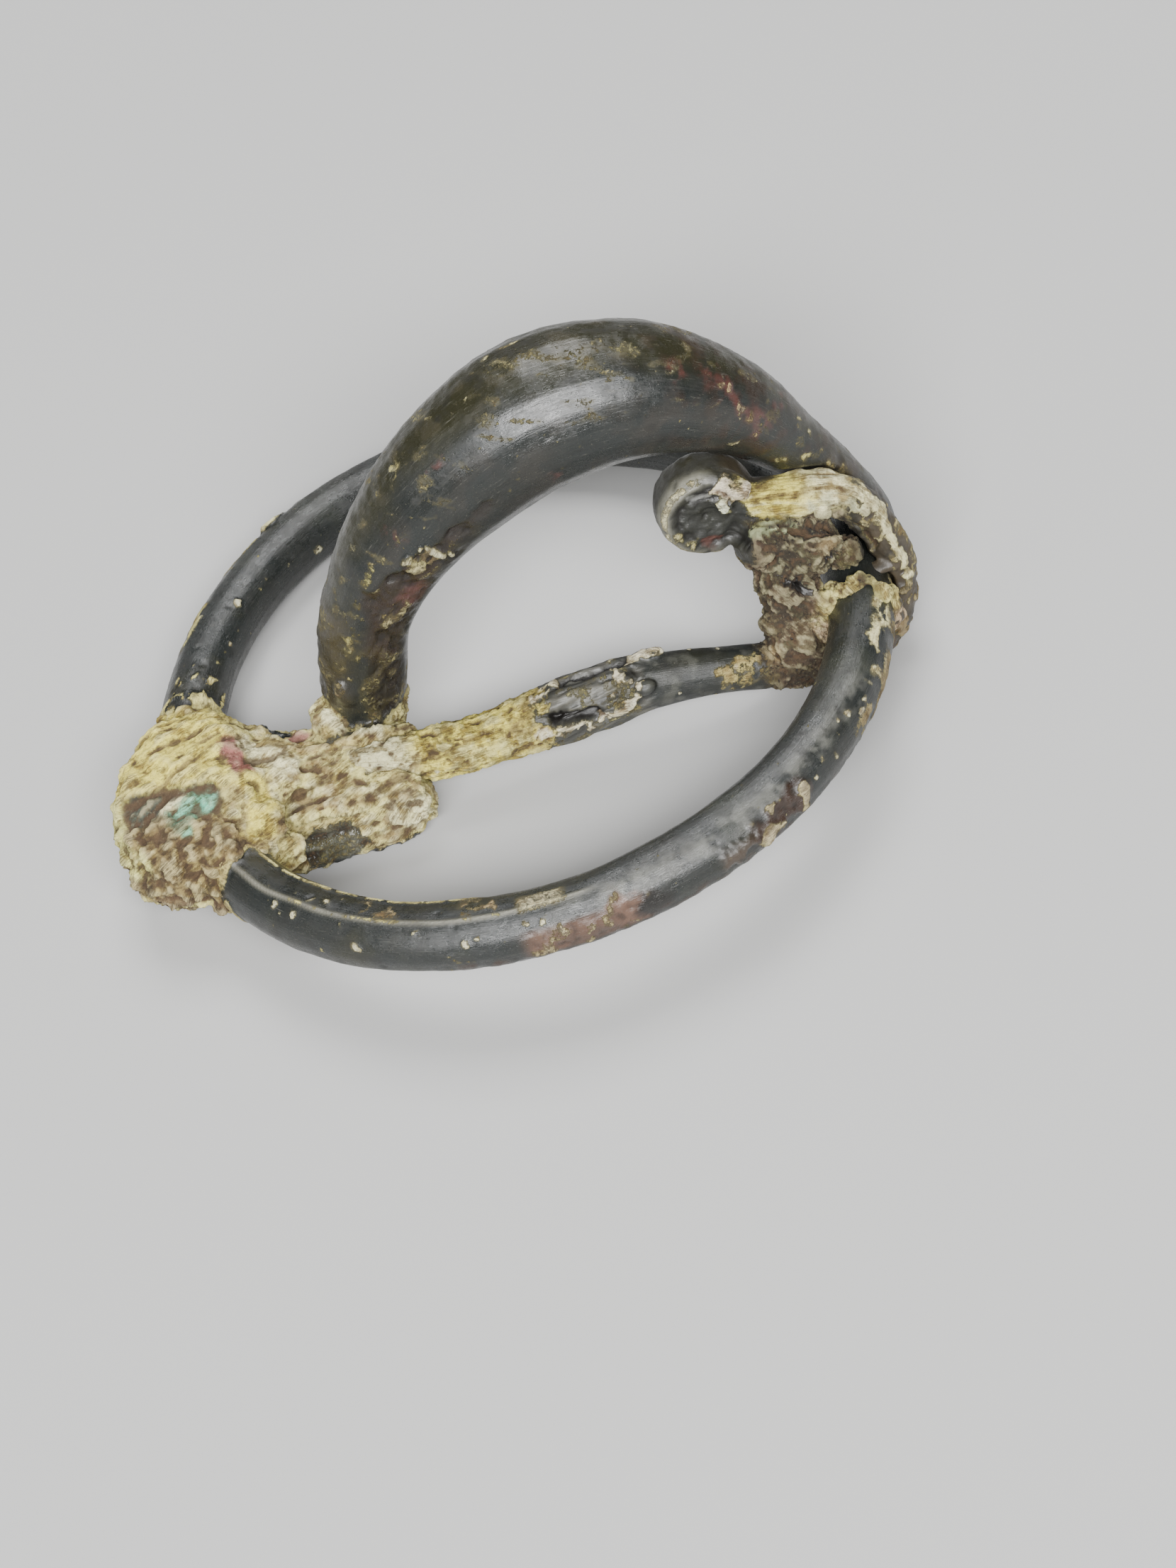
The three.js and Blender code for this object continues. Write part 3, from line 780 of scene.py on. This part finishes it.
def treat_bow(skin):
    p = skin.places
    x, y, z = p.T
    slow = layered(p, 6.0, 111, 3)
    rough = layered(p, 1.3, 121, 4)
    fine = layered(p, 0.5, 131, 3)
    off_leg = step(-2.1, -2.7, y + 0.15 * rough)
    climb = (1.5 * skin.patch((-10.1, -0.3, 1.4), (1.5, 2.0, 1.8))
        + 2.0 * np.maximum(off_leg, step(-10.9, -11.6, x)))
    foot = step(0.35, -0.35, z - 1.0 - climb + 0.35 * rough) * step(4, 2, x)
    foot = np.maximum(foot, step(-13.6, -14.6, x + 0.4 * rough))
    body = 1 - foot
    skin.height += body * (0.06 * slow + 0.012 * rough)

    # patina: olive brown along the crown, umber towards the head, dull brown underneath
    crown = step(1.15, 0.45, np.abs(skin.around - 0.25) + 0.25 * slow + 0.15 * rough) * step(1.0, 5.0, z)
    skin.stain(body * crown * 0.85, OLIVE)
    skin.stain(body * crown * step(0.1, 0.6, rough) * 0.5, (0.044, 0.039, 0.024))
    skin.height += body * crown * (0.02 * rough + 0.018 * fine)
    skin.stain(body * step(11, 17, x + 2.0 * rough) * step(-0.2, 0.5, rough) * 0.7, UMBER)
    skin.stain(body * step(-1.2, -2.6, y) * step(-0.1, 0.6, layered(p, 2.5, 115, 4)) * 0.6,
        (0.024, 0.021, 0.017))
    for place, reach in RUST_BLOTCHES:
        blotch = body * skin.patch(place, reach, 0.6, 0.8) * step(-0.5, 0.2, fine + 0.5 * rough)
        skin.stain(blotch * 0.85, RUST)
        skin.height += blotch * 0.04 * rough
    for place, reach in RUST_SCABS:
        skin.grow(body * skin.patch(place, reach, 0.5, 0.8) * step(-0.5, 0.2, fine) * 0.72,
            (0.18, 0.075, 0.063), 0.03)
    crimson = skin.stroke(((15.6, -1.6, 15.4), (16.2, -1.9, 13.9), (16.4, -2.0, 12.8), (16.5, -1.9, 12.0)),
        0.62, 0.4, 0.8)
    skin.stain(body * crimson * 0.8, RUST)
    skin.grow(body * crimson * step(-0.5, 0.4, fine + 0.4 * rough) * 0.85, (0.2, 0.075, 0.062), 0.04)

    # the leg's inner side: smooth patina ends at a raised ledge, with flaked brown metal below
    below = step(0.25, -0.15, z - 12.0 - 0.55 * (x + 2.2) + 0.4 * rough)
    inner = (step(-0.7, -1.7, y + 0.3 * (x + 5) + 0.25 * rough)
        * step(-6.4, -5.4, x + 0.22 * (9 - z) + 0.3 * rough))
    flaked = body * below * inner * step(0.8, 2.0, z)
    plates, gap, tag = cells(p + 0.3 * skin.warp, 0.9, 117)
    skin.height += flaked * (-0.2 + 0.16 * rough + 0.14 * (tag - 0.5) - 0.08
        * step(0.14, 0.0, gap - plates))
    skin.stain(flaked * 0.9, UMBER)
    skin.stain(flaked * step(6.5, 2.5, z) * 0.7, SOOT_AND_SHADOW)
    reddish = flaked * skin.patch((-3.0, -2.0, 9.2), (1.6, 1.4, 1.1), 0.6, 0.6)
    skin.stain(reddish, RUST)
    skin.grow(flaked * step(0.25, 0.6, rough + 0.5 * (tag - 0.5)) * step(5.5, 8.5, z) * 0.7,
        (0.2, 0.145, 0.085), 0.04)
    under_rim = body * skin.patch((-1.8, -2.7, 11.7), (1.6, 0.9, 0.8), 0.35, 0.4)
    skin.grow(under_rim * step(-0.6, 0.0, fine) * 0.7, (0.3, 0.27, 0.12), 0.12)
    ledge = body * skin.stroke(LEG_RIM, 0.3, 0.18)
    skin.grow(ledge * step(-0.8, -0.3, fine), (0.44, 0.42, 0.28), 0.26)
    skin.stain(body * skin.patch((-0.6, -2.3, 11.0), (0.8, 0.8, 0.35), 0.2), SOOT_AND_SHADOW)

    # a green-yellow streak down the leg's corner, a flake step on its far edge, cream and pink low down
    streak = skin.stroke(((-4.9, -1.9, 11.9), (-5.3, -1.8, 10.9), (-6.5, -1.6, 9.0), (-7.1, -1.6, 7.2),
        (-7.5, -1.5, 5.9)), 0.75, 0.5, 1.0)
    skin.grow(body * streak * step(-0.9, 0.7, rough + 0.5 * fine) * 0.66, MOSS, 0.04)
    outer = (body * step(9.2, 8.2, z + 0.3 * rough) * step(1.5, 2.6, z)
        * step(0.6, -0.9, x + 7.9 - 0.33 * (z - 5)))
    skin.height += outer * (0.14 + 0.05 * rough)
    skin.stain(outer * 0.7, (0.042, 0.034, 0.021))
    skin.grow(outer * step(-0.1, 0.6, rough + 0.4 * fine) * 0.5, MOSS, 0.02)
    skin.grow(body * skin.patch((-8.2, -1.4, 4.8), (0.6, 0.5, 0.7), 0.4, 0.6)
        * step(-0.4, 0.1, fine), SAND, 0.06)
    skin.grow(body * skin.patch((-8.7, -1.3, 3.4), (0.8, 0.8, 1.0), 0.45) * step(-0.4, 0.2, rough) * 0.7,
        (0.3, 0.15, 0.11), 0.05)
    lower = body * step(8.5, 5.0, z + 0.5 * rough) * step(0.0, -2.0, x)
    skin.grow(lower * step(-0.6, 0.5, rough + 0.4 * fine) * 0.44, (0.04, 0.021, 0.015))
    tuft = skin.stroke(((-2.3, -0.4, 16.0), (-1.7, -0.2, 16.4), (-1.0, -0.4, 16.6)), 0.55, 0.4, 0.6)
    skin.grow(body * tuft * step(-0.5, 0.4, fine + 0.4 * rough) * 0.8, MOSS, 0.04)
    skin.grow(body * skin.patch((-3.0, 0.4, 15.0), (1.6, 1.2, 1.2), 0.5, 0.7)
        * step(0.1, 0.6, rough) * 0.55, MOSS, 0.03)

    # cream smears and ovals on the crown, smaller flecks all over
    for line, width in BOW_SMEARS:
        skin.grow(body * skin.stroke(line, width, 0.25, 1.0) * step(-0.8, 0.3, fine) * 0.78,
            (0.6, 0.56, 0.34), 0.03)
    smear = body * crown * step(0.25, 0.9, fibres(p, (0.8, -0.5, 0.2), 1.6, 3, 143, 5) + 0.3 * rough)
    skin.grow(smear * 0.46, (0.3, 0.285, 0.19), 0.01)
    # a pale rubbed band along the front of the bow: scuffs, and a painted highlight band
    worn_sheen = body * step(0.9, 0.3, np.abs(skin.around + 0.75)) * step(4, 9, z)
    skin.grow(worn_sheen * step(0.1, 0.7, fibres(p, (0.9, -0.2, -0.3), 0.9, 4, 149, 4)) * 0.42,
        (0.27, 0.265, 0.225))
    belly = step(-1.8, -2.8, y) * step(4, 8, z)
    skin.grow(body * skin.specks(0.6, 0.16, 141, 0.26) * belly * 0.5, (0.42, 0.39, 0.28), 0.02)
    skin.grow(body * skin.specks(0.4, 0.08, 145, 0.24) * 0.6, (0.52, 0.48, 0.3), 0.02)
    pits, _, tag = cells(p, 0.9, 147)
    skin.height -= body * 0.035 * step(0.3, 0.05, pits + 0.15 * fine) * (tag < 0.12)

    # the claw: crusted where it meets the pin's wire
    claw = (step(0.4, -0.6, y + 0.3 * rough) * step(19.4, 20.2, x + 0.2 * fine) * step(8.2, 7.4, z)
        * step(-3, -1, z))
    speckled = claw * step(-0.1, 0.35, rough + 0.5 * fine)
    skin.stain(claw, (0.035, 0.028, 0.018), 0.06 * rough)
    skin.grow(speckled * 0.6, (0.44, 0.34, 0.16), 0.04)
    joint = skin.stroke(((17.6, -1.6, 9.0), (19.3, -1.2, 8.3), (20.9, -1.0, 6.4)), 0.8)
    skin.grow(body * joint * step(-0.5, 0.4, rough) * 0.62, CREAM, 0.03)
    skin.grow(skin.patch((22.5, -0.4, 0.2), (1.2, 1.4, 2.2), 0.5) * step(-0.2, 0.3, rough),
        (0.34, 0.24, 0.14), 0.06)
    treat_foot(skin, foot)


# ---- pin, its coil and the corrosion on its root ----
# Crust lumps on the shaft, the coil and the root: place and reach.
PIN_LUMPS = [
    ((7.4, -3.5, 0.85), (1.0, 0.45, 0.4)), ((6.9, -5.4, 0.5), (0.6, 0.4, 0.4)),
    ((6.2, -4.7, 1.0), (0.5, 0.5, 0.4)), ((5.2, -5.6, 0.0), (1.2, 0.35, 0.35)),
    ((14.6, -2.2, 9.0), (0.8, 0.6, 0.6)), ((13.9, -2.8, 8.5), (0.7, 0.5, 0.6)), ((18.8, -2.9, 6.2), 0.36),
    ((18.4, -3.2, 4.4), (1.1, 0.8, 0.8)), ((19.4, -2.6, 2.6), (1.1, 0.8, 0.8)),
    ((16.2, -3.9, 2.6), (1.1, 0.8, 1.4)), ((15.0, -3.9, 0.4), (1.0, 0.8, 1.2)),
    ((17.2, -4.4, 1.2), (0.9, 0.6, 0.8)), ((15.2, -3.4, 5.9), (1.0, 0.7, 1.2)),
    ((21.2, -3.0, 1.1), (1.1, 0.45, 0.35))]


def pin_lumps():
    return beads(-13.0, 1.9, 17, 0.44) + PIN_LUMPS


# Slits in the yellow crust on the shaft.
YELLOW_SLITS = (
    ((-8.9, -5.0, 1.3), (-7.2, -4.6, 1.2)), ((-8.4, -5.6, 0.8), (-6.9, -5.4, 0.7)),
    ((-9.9, -4.8, 1.2), (-9.4, -5.3, 0.9)))
# Cracks of the split shaft: line, half width and depth.
SHAFT_CRACKS = (
    (((1.6, -5.45, 0.4), (2.9, -5.5, 0.2), (4.6, -5.4, -0.2)), 0.5, 0.6),
    (((2.6, -3.7, 1.2), (4.3, -3.6, 1.2), (6.2, -3.5, 1.1)), 0.34, 0.3),
    (((0.9, -5.2, 0.6), (2.0, -5.3, 0.5)), 0.25, 0.3))
# Pale lumps along the split: line and half width.
SHAFT_LUMPS = (
    (((0.6, -5.6, -0.2), (3.5, -5.7, -0.6), (5.4, -5.8, -0.1), (6.4, -5.6, 0.3)), 0.34),
    (((6.6, -3.6, 1.2), (8.3, -3.6, 1.1)), 0.45),
    (((5.7, -4.3, 1.4), (5.9, -4.9, 1.3), (6.7, -5.5, 0.9)), 0.42),
    (((0.9, -4.0, 1.0), (2.2, -3.6, 1.1)), 0.42))


def treat_shaft(skin, shaft):
    """The pin from its tip to the corroded root."""
    p = skin.places
    x, y, z = p.T
    rough = layered(p, 1.0, 221, 4)
    fine = layered(p, 0.45, 231, 3)
    wavy = fibres(p + 0.35 * skin.warp, (0.9, 0.1, 0.1), 0.5, 4, 245)
    _, _, tag = cells(p + 0.25 * skin.warp, 0.65, 241)

    # yellow crust over the half by the catch plate, wavy and grooved
    yellow = shaft * step(1.9, 0.7, x + 0.9 * rough)
    skin.grow(yellow, YELLOW)
    skin.tint(yellow * step(0.0, 0.4, rough + wavy * 0.4) * 0.8, CREAM)
    skin.tint(yellow * step(-5.6, -7.0, x + 0.5 * rough), CHALK)
    skin.tint(yellow * step(-0.2, 0.9, x) * 0.5, TAN)
    skin.height += yellow * (0.13 * rough + 0.17 * wavy + 0.05 * (tag - 0.5))
    skin.tint(yellow * step(-0.15, -0.5, wavy) * 0.8, TAN)
    furrow = yellow * groove(wavy + 0.2, 0.1) * step(-4.2, -4.6, y + 0.2 * rough) * step(1.4, 0.6, z)
    skin.height -= 0.1 * furrow
    skin.tint(furrow * 0.6, (0.24, 0.17, 0.06))
    for line in YELLOW_SLITS:
        slit = skin.stroke(line, 0.22, 0.12, 0.6)
        skin.height -= 0.22 * slit
        skin.tint(slit * 0.9, (0.09, 0.075, 0.05))
    skin.tint(skin.patch((-7.8, -5.2, 1.0), (1.1, 0.5, 0.5), 0.3, 0.6) * 0.6, (0.5, 0.5, 0.42))

    # past it the shaft has split: a long bare ridge over a black crack, pale lumps at its end
    split = shaft * step(0.9, 1.9, x + 0.5 * rough) * step(7.4, 6.4, x + 0.4 * rough)
    skin.stain(split, (0.034, 0.034, 0.029), 0.2 * fibres(p, (0.97, 0.05, 0.1), 0.7, 7, 255) + 0.03 * rough)
    # lighter strips along the split: painted highlights
    skin.stain(split * step(0.0, 0.5, fibres(p, (0.97, 0.05, 0.1), 0.5, 8, 257)) * 0.7,
        (0.085, 0.082, 0.068))
    skin.grow(split * step(-0.5, 0.5, rough + 0.5 * fine) * 0.46, (0.055, 0.052, 0.042))
    for line, width, depth in SHAFT_CRACKS:
        crack = skin.stroke(line, width, 0.2, 0.6)
        skin.strip(crack, depth)
        skin.stain(crack, SOOT_AND_SHADOW)
    # the ridge is raised, and its lightening is a painted highlight
    core = skin.stroke(((1.4, -4.8, 0.9), (3.9, -4.9, 1.0), (6.0, -4.8, 0.9)), 0.45, 0.2, 0.6)
    skin.height += 0.14 * core
    skin.stain(core * 0.6, (0.12, 0.115, 0.095))
    for line, width in SHAFT_LUMPS:
        skin.grow(skin.stroke(line, width) * step(-0.7, -0.1, rough + 0.5 * fine), (0.72, 0.66, 0.5), 0.14)

    # the bare rest is dark and flecked, sandy again by the root
    bare = shaft * step(6.4, 7.2, x)
    skin.stain(bare * step(0.0, 0.7, rough) * 0.6, (0.07, 0.07, 0.058))
    skin.grow(shaft * skin.specks(0.6, 0.1, 243) * 0.8, (0.62, 0.58, 0.46), 0.05)
    sandy = skin.stroke(((11.6, -4.9, -1.0), (13.2, -4.9, -1.0), (14.0, -4.6, -1.1)), 1.2, 0.5, 0.6)
    skin.grow(sandy * step(-0.7, 0.3, rough) * 0.9, (0.36, 0.27, 0.1), 0.07)
    skin.stain(step(13.8, 14.8, x) * step(0.2, -0.8, z), (0.05, 0.028, 0.018))


# Lumps of other colours in the root's mass: place, reach and colour.
ROOT_LUMPS = (
    ((14.6, -3.6, 5.6), (1.2, 1.0, 1.6), (0.15, 0.075, 0.055)),
    ((18.5, -3.8, 4.6), (1.1, 0.9, 0.8), (0.3, 0.21, 0.09)),
    ((19.4, -3.0, 2.7), (1.1, 0.9, 0.8), (0.19, 0.18, 0.055)),
    ((17.3, -4.4, 3.2), (1.0, 0.9, 1.0), (0.15, 0.13, 0.055)),
    ((17.2, -4.8, 1.2), (1.0, 0.8, 0.8), (0.32, 0.22, 0.15)),
    ((13.9, -4.6, -0.9), (1.3, 0.9, 0.9), (0.4, 0.28, 0.12)),
    ((15.2, -5.0, -1.2), (1.0, 0.9, 1.0), (0.09, 0.05, 0.028)),
    ((16.0, -4.8, 0.4), (0.9, 0.6, 0.6), (0.38, 0.31, 0.18)))
# Black cavities in it: place and reach.
ROOT_CAVITIES = (
    ((15.6, -4.2, 4.5), 0.6), ((16.4, -4.5, 3.0), 0.8), ((17.9, -3.9, 3.8), 0.5),
    ((14.7, -4.1, 2.6), 0.5), ((16.9, -4.6, 0.3), 0.5), ((15.2, -4.6, -0.2), 0.4))
# Black splits in it: line and half width.
ROOT_SPLITS = (
    (((15.4, -4.3, 4.3), (16.0, -4.7, 3.4), (16.8, -4.7, 2.4)), 0.42),
    (((17.0, -4.4, 3.6), (16.3, -4.7, 2.6)), 0.28),
    (((18.4, -3.9, 3.4), (19.2, -3.6, 3.7), (20.0, -3.2, 4.2)), 0.26),
    (((14.2, -3.8, 4.8), (15.0, -4.3, 3.6)), 0.26))


def treat_root(skin, mass):
    """The torn brown mass that has grown between the coil and the shaft."""
    p = skin.places
    rough = layered(p, 1.1, 261, 5, 0.55)
    torn = fibres(p + 0.25 * skin.warp, (0.55, 0.1, -0.8), 0.8, 5, 263, 4)
    _, _, tag = cells(p + 0.45 * skin.warp, 1.4, 265)
    fissure = groove(torn + 0.1, 0.07)
    skin.along += mass * (p @ (0.5, 0.2, -0.8) - skin.along)
    skin.around += mass * (p @ (0.8, 0.1, 0.5) / 3 - skin.around)
    skin.stain(mass, (0.024, 0.014, 0.008),
        0.15 * rough + 0.26 * torn + 0.16 * (tag - 0.5) - 0.16 * fissure)
    skin.grow(mass * 0.95, (0.105, 0.073, 0.034))
    skin.tint(mass * step(0.55, 0.8, tag) * 0.7, (0.17, 0.105, 0.068))
    skin.tint(mass * step(0.25, 0.1, tag) * 0.8, (0.08, 0.078, 0.032))
    skin.tint(mass * step(0.35, 0.8, torn + 0.3 * rough) * 0.6, (0.34, 0.3, 0.17))
    skin.tint(mass * step(0.0, -0.35, torn + 0.4 * rough) * 0.9, (0.026, 0.017, 0.009))
    skin.strip(mass * fissure * 0.7)
    for place, reach, colour in ROOT_LUMPS:
        lump = mass * skin.patch(place, reach, 0.45)
        skin.grow(lump * step(-0.8, -0.2, rough) * 0.85, colour, 0.08)
    skin.tint(mass * 0.38, (0.03, 0.025, 0.014))
    for place, reach in ROOT_CAVITIES:
        cavity = mass * skin.patch(place, reach, 0.5)
        skin.tint(cavity, (0.01, 0.008, 0.005), -0.45)
    skin.tint(mass * skin.stroke(((18.2, -4.4, 2.0), (19.2, -4.2, 2.2), (19.9, -4.2, 1.2)), 0.5,
        0.4, 0.6), CREAM)
    for line, width in ROOT_SPLITS:
        split = skin.stroke(line, width, 0.3, 0.6)
        skin.strip(split, 0.34)
        skin.stain(split, SOOT_AND_SHADOW)


# Slots across the coil's face.
COIL_SLOTS = (
    ((12.9, -2.2, 8.4), (12.7, -2.2, 7.7), (12.9, -2.2, 6.9)), ((13.4, -2.3, 8.9), (12.5, -2.2, 8.6)))


def treat_coil(skin, coil):
    """The coil: a dark dished face, its top darkened by a painted shadow, inside a thin rim whose left side
    carries a painted highlight.
    """
    p = skin.places
    x, y, z = p.T
    rough = layered(p, 0.9, 271, 4)
    out, up = x - COIL_MIDDLE[0], z - COIL_MIDDLE[2]
    radial = np.hypot(out, up)
    face = coil * step(-1.3, -1.9, y)
    dish = face * step(2.25, 1.85, radial + 0.12 * rough)
    skin.height -= dish * (0.42 - 0.07 * rough)
    skin.height += 0.06 * coil * rough
    skin.stain(coil * 0.8, (0.034, 0.033, 0.026))
    skin.stain(coil * step(0.0, 0.5, rough) * 0.6, OLIVE)
    skin.stain(dish * 0.5, SLATE)
    # painted shadow of the bow across the top of the coil's face
    skin.stain(face * skin.patch((13.2, -2.2, 9.3), (1.3, 1.0, 0.8)), SOOT_AND_SHADOW)
    for line in COIL_SLOTS:
        slot = face * skin.stroke(line, 0.3, 0.2, 0.6)
        skin.strip(slot, 0.25)
        skin.stain(slot, SOOT_AND_SHADOW)
    streak = skin.stroke(((12.2, -2.4, 9.6), (13.4, -2.4, 9.3)), 0.22, 0.15, 0.6)
    skin.stain(coil * streak, (0.2, 0.2, 0.18))
    # the rim's left side lightened, with a pale lip on it: a painted highlight
    rim = coil * step(0.34, 0.12, np.abs(radial - 2.45)) * step(0.9, -0.3, out) * step(-0.9, -1.6, y)
    skin.height += 0.07 * rim
    skin.stain(rim * step(-0.8, 0.0, rough), (0.17, 0.165, 0.13))
    rim_highlight = coil * step(0.2, 0.06, np.abs(radial - 2.42)) * step(0.6, -0.2, out) * step(-1.0, -1.5, y)
    skin.grow(rim_highlight * step(-0.9, 0.1, rough) * 0.62, (0.66, 0.63, 0.5), 0.02)
    mottled = coil * skin.patch((11.6, -2.2, 6.9), (1.0, 0.8, 1.2), 0.5, 0.6)
    skin.grow(mottled * step(0.0, 0.4, rough) * 0.7, (0.36, 0.33, 0.17), 0.04)
    skin.stain(coil * skin.patch((12.8, -2.4, 6.0), (0.7, 0.6, 0.5), 0.3, 0.6), (0.11, 0.042, 0.032))
    skin.grow(coil * skin.stroke(((13.9, -3.0, 7.4), (14.9, -3.6, 6.8)), 0.5, 0.35, 0.6)
        * step(-0.3, 0.2, rough), (0.36, 0.46, 0.28), 0.1)


def treat_pin(skin):
    p = skin.places
    x, y, z = p.T
    slow = layered(p, 4.0, 211, 3)
    rough = layered(p, 1.0, 212, 4)
    fine = layered(p, 0.45, 213, 3)
    shaft = step(14.0, 12.8, x + 0.4 * rough) * step(3.0, 2.0, z)
    far_side = step(-2.0, -1.2, y) * step(18.0, 16.0, x)
    over = (step(6.5, 6.9, z + 0.2 * rough + 0.12 * (x - 15) - 0.45 * step(17.2, 15.6, x))
        * step(14.5, 15.4, x + 0.3 * rough) * step(21.3, 20.3, x) * (1 - far_side))
    coil = (step(3.1, 2.8, np.hypot(x - COIL_MIDDLE[0], z - COIL_MIDDLE[2])) * step(15.2, 14.2, x)
        * step(4.3, 5.0, z))
    mass = (1 - shaft) * (1 - over) * (1 - coil) * (1 - far_side) * step(20.6, 19.8, x) * step(12.6, 13.4,
        x) * step(7.4, 6.8, z)
    skin.height += 0.04 * slow
    skin.stain(step(-0.2, 0.7, slow) * 0.5, OLIVE)
    treat_shaft(skin, shaft)
    treat_root(skin, mass)
    treat_coil(skin, coil)

    # a black strip pressed in under the wire where it leaves the mass: painted shade for the shaded gap
    # down to the ring
    hollow = skin.stroke(((16.6, -3.1, 5.9), (18.0, -3.1, 5.5), (19.4, -3.0, 4.9), (20.5, -3.1, 4.0),
        (20.9, -3.1, 2.6)), 0.6)
    skin.grow(hollow, (0.01, 0.008, 0.005), -0.35)

    # the wire over the ring, thick with fibrous yellow and white crust
    strands = fibres(p, (0.95, 0.1, -0.3), 0.5, 7, 215)
    skin.grow(over, YELLOW)
    skin.tint(over * step(17.4, 19.4, x + 0.6 * rough), CHALK)
    skin.tint(over * step(0.1, 0.5, strands) * 0.6, CHALK)
    skin.height += over * (0.08 * rough + 0.15 * strands)
    skin.tint(over * step(-0.2, -0.5, strands) * 0.7, (0.3, 0.22, 0.06))
    skin.tint(over * groove(strands + 0.3, 0.06) * 0.5, (0.5, 0.38, 0.1))
    skin.grow(skin.stroke(((14.0, -2.4, 9.5), (14.8, -2.3, 9.0), (15.3, -2.3, 8.8)), 0.65, 0.35),
        (0.7, 0.61, 0.48), 0.12)
    skin.grow(skin.patch((13.9, -3.0, 8.6), (0.7, 0.7, 0.8)), (0.8, 0.84, 0.62), 0.1)
    green = skin.stroke(((14.4, -3.5, 7.0), (15.6, -3.3, 6.7), (17.2, -3.1, 6.4)), 0.5, 0.35, 0.6)
    skin.grow(green * step(-0.5, 0.1, strands) * 0.9, (0.4, 0.47, 0.26), 0.06)
    skin.tint(green * step(-0.1, -0.4, strands), (0.05, 0.05, 0.03))
    creamy = skin.stroke(((18.6, -2.6, 6.9), (20.2, -2.5, 6.2), (21.0, -2.6, 5.4)), 0.45)
    skin.grow(creamy * step(-0.5, 0.1, rough), (0.56, 0.56, 0.34), 0.05)
    dot = skin.patch((18.8, -3.0, 6.3), 0.42, 0.08, 0.3)
    skin.grow(dot, CHALK, 0.1)

    # the wire going down outside the ring: a white ridge line, speckled brown beside it
    down = step(20.2, 20.9, x + 0.2 * rough) * step(7.4, 6.6, z) * (1 - over)
    skin.stain(down, (0.045, 0.034, 0.02), 0.1 * rough)
    skin.grow(down * step(0.0, 0.5, rough + 0.5 * fine) * 0.6, (0.34, 0.28, 0.16), 0.05)
    skin.stain(far_side * step(14.0, 15.0, x), (0.04, 0.032, 0.02))
    ridge = skin.stroke(((20.4, -2.3, 6.9), (21.5, -2.3, 5.6), (22.0, -2.7, 3.8), (22.3, -3.1, 1.9),
        (22.4, -3.3, 0.2)), 0.42, 0.25, 0.6)
    skin.grow(ridge * step(-1.0, -0.3, rough), CHALK, 0.14)
    skin.grow(skin.patch((22.5, -2.3, 2.6), (0.5, 0.5, 0.8)), TAN, 0.04)
    skin.grow(down * step(0.0, -1.0, z) * step(-0.3, 0.2, rough) * 0.8, (0.24, 0.16, 0.09), 0.06)

    # crust collar where the ring comes out of the mass
    turn, _ = ring_angles(p)
    from_rod = np.hypot(np.hypot(x, y) - ring_radius(turn), z)
    collar = step(2.9, 2.5, from_rod) * arc(turn, -15.5, -11.0, 1.2) * step(15.9, 16.6, x)
    skin.grow(collar * step(-0.9, 0.1, rough) * 0.95, CREAM, 0.06)
    skin.tint(collar * step(0.4, -0.5, z + 0.5 * rough), (0.5, 0.38, 0.24))


# ---- studio ----
FLOOR_HALF_WIDTH = 1.6
FLOOR_GREY = (0.37, 0.37, 0.365, 1)
SKY_COLOUR = (0.9, 0.93, 1.0, 1)
SKY_STRENGTH = 0.06


def add_floor():
    """A plain pale floor that reaches far outside the view."""
    size = FLOOR_HALF_WIDTH
    mesh = bpy.data.meshes.new("floor")
    corners = [(-size, -size, 0), (size, -size, 0), (size, size, 0), (-size, size, 0)]
    mesh.from_pydata(corners, [], [(0, 1, 2, 3)])
    floor = bpy.data.objects.new("floor", mesh)
    bpy.context.scene.collection.objects.link(floor)
    g = Graph("floor")
    g.shader.inputs["Base Color"].default_value = FLOOR_GREY
    g.shader.inputs["Roughness"].default_value = 0.8
    mesh.materials.append(g.material)


def add_light(name, azimuth, elevation, distance, wide, tall, power):
    """A soft light that faces the brooch; azimuth 0 is in front, 90 to the head's side."""
    a, e = math.radians(azimuth), math.radians(elevation)
    toward = Vector((math.sin(a) * math.cos(e), -math.cos(a) * math.cos(e), math.sin(e)))
    light = bpy.data.lights.new(name, 'AREA')
    light.shape = 'RECTANGLE'
    light.size = wide
    light.size_y = tall
    light.energy = power
    lamp = bpy.data.objects.new(name, light)
    lamp.location = toward * distance
    lamp.rotation_euler = toward.to_track_quat('Z', 'Y').to_euler()
    bpy.context.scene.collection.objects.link(lamp)


def add_studio():
    add_floor()
    add_light("key_back", 168, 62, 0.6, 0.3, 0.3, 3.6)
    add_light("front", -4, 45, 0.7, 0.7, 0.22, 16.0)
    add_light("left", -80, 35, 0.7, 0.3, 0.3, 0.6)
    world = bpy.data.worlds.new("studio")
    bpy.context.scene.world = world
    world.use_nodes = True
    world.node_tree.nodes["Background"].inputs["Color"].default_value = SKY_COLOUR
    world.node_tree.nodes["Background"].inputs["Strength"].default_value = SKY_STRENGTH


add_camera()
add_studio()
ring_bronze = bronze_material("ring_bronze", 0.21, 0.42)
bow_bronze = bronze_material("bow_bronze", 0.21, 0.4)
pin_bronze = bronze_material("pin_bronze", 0.32, 0.58)
ring = work_piece("ring_piece", "ring", BOW_LINE, [], 0.142, 20, treat_ring, ring_bronze)
bow = work_piece("bow_piece", "bow", BOW_LINE, foot_lumps(), 0.152, 22, treat_bow, bow_bronze)
pin = work_piece("pin_piece", "pin", PIN_LINE, pin_lumps(), 0.1, 18, treat_pin, pin_bronze)
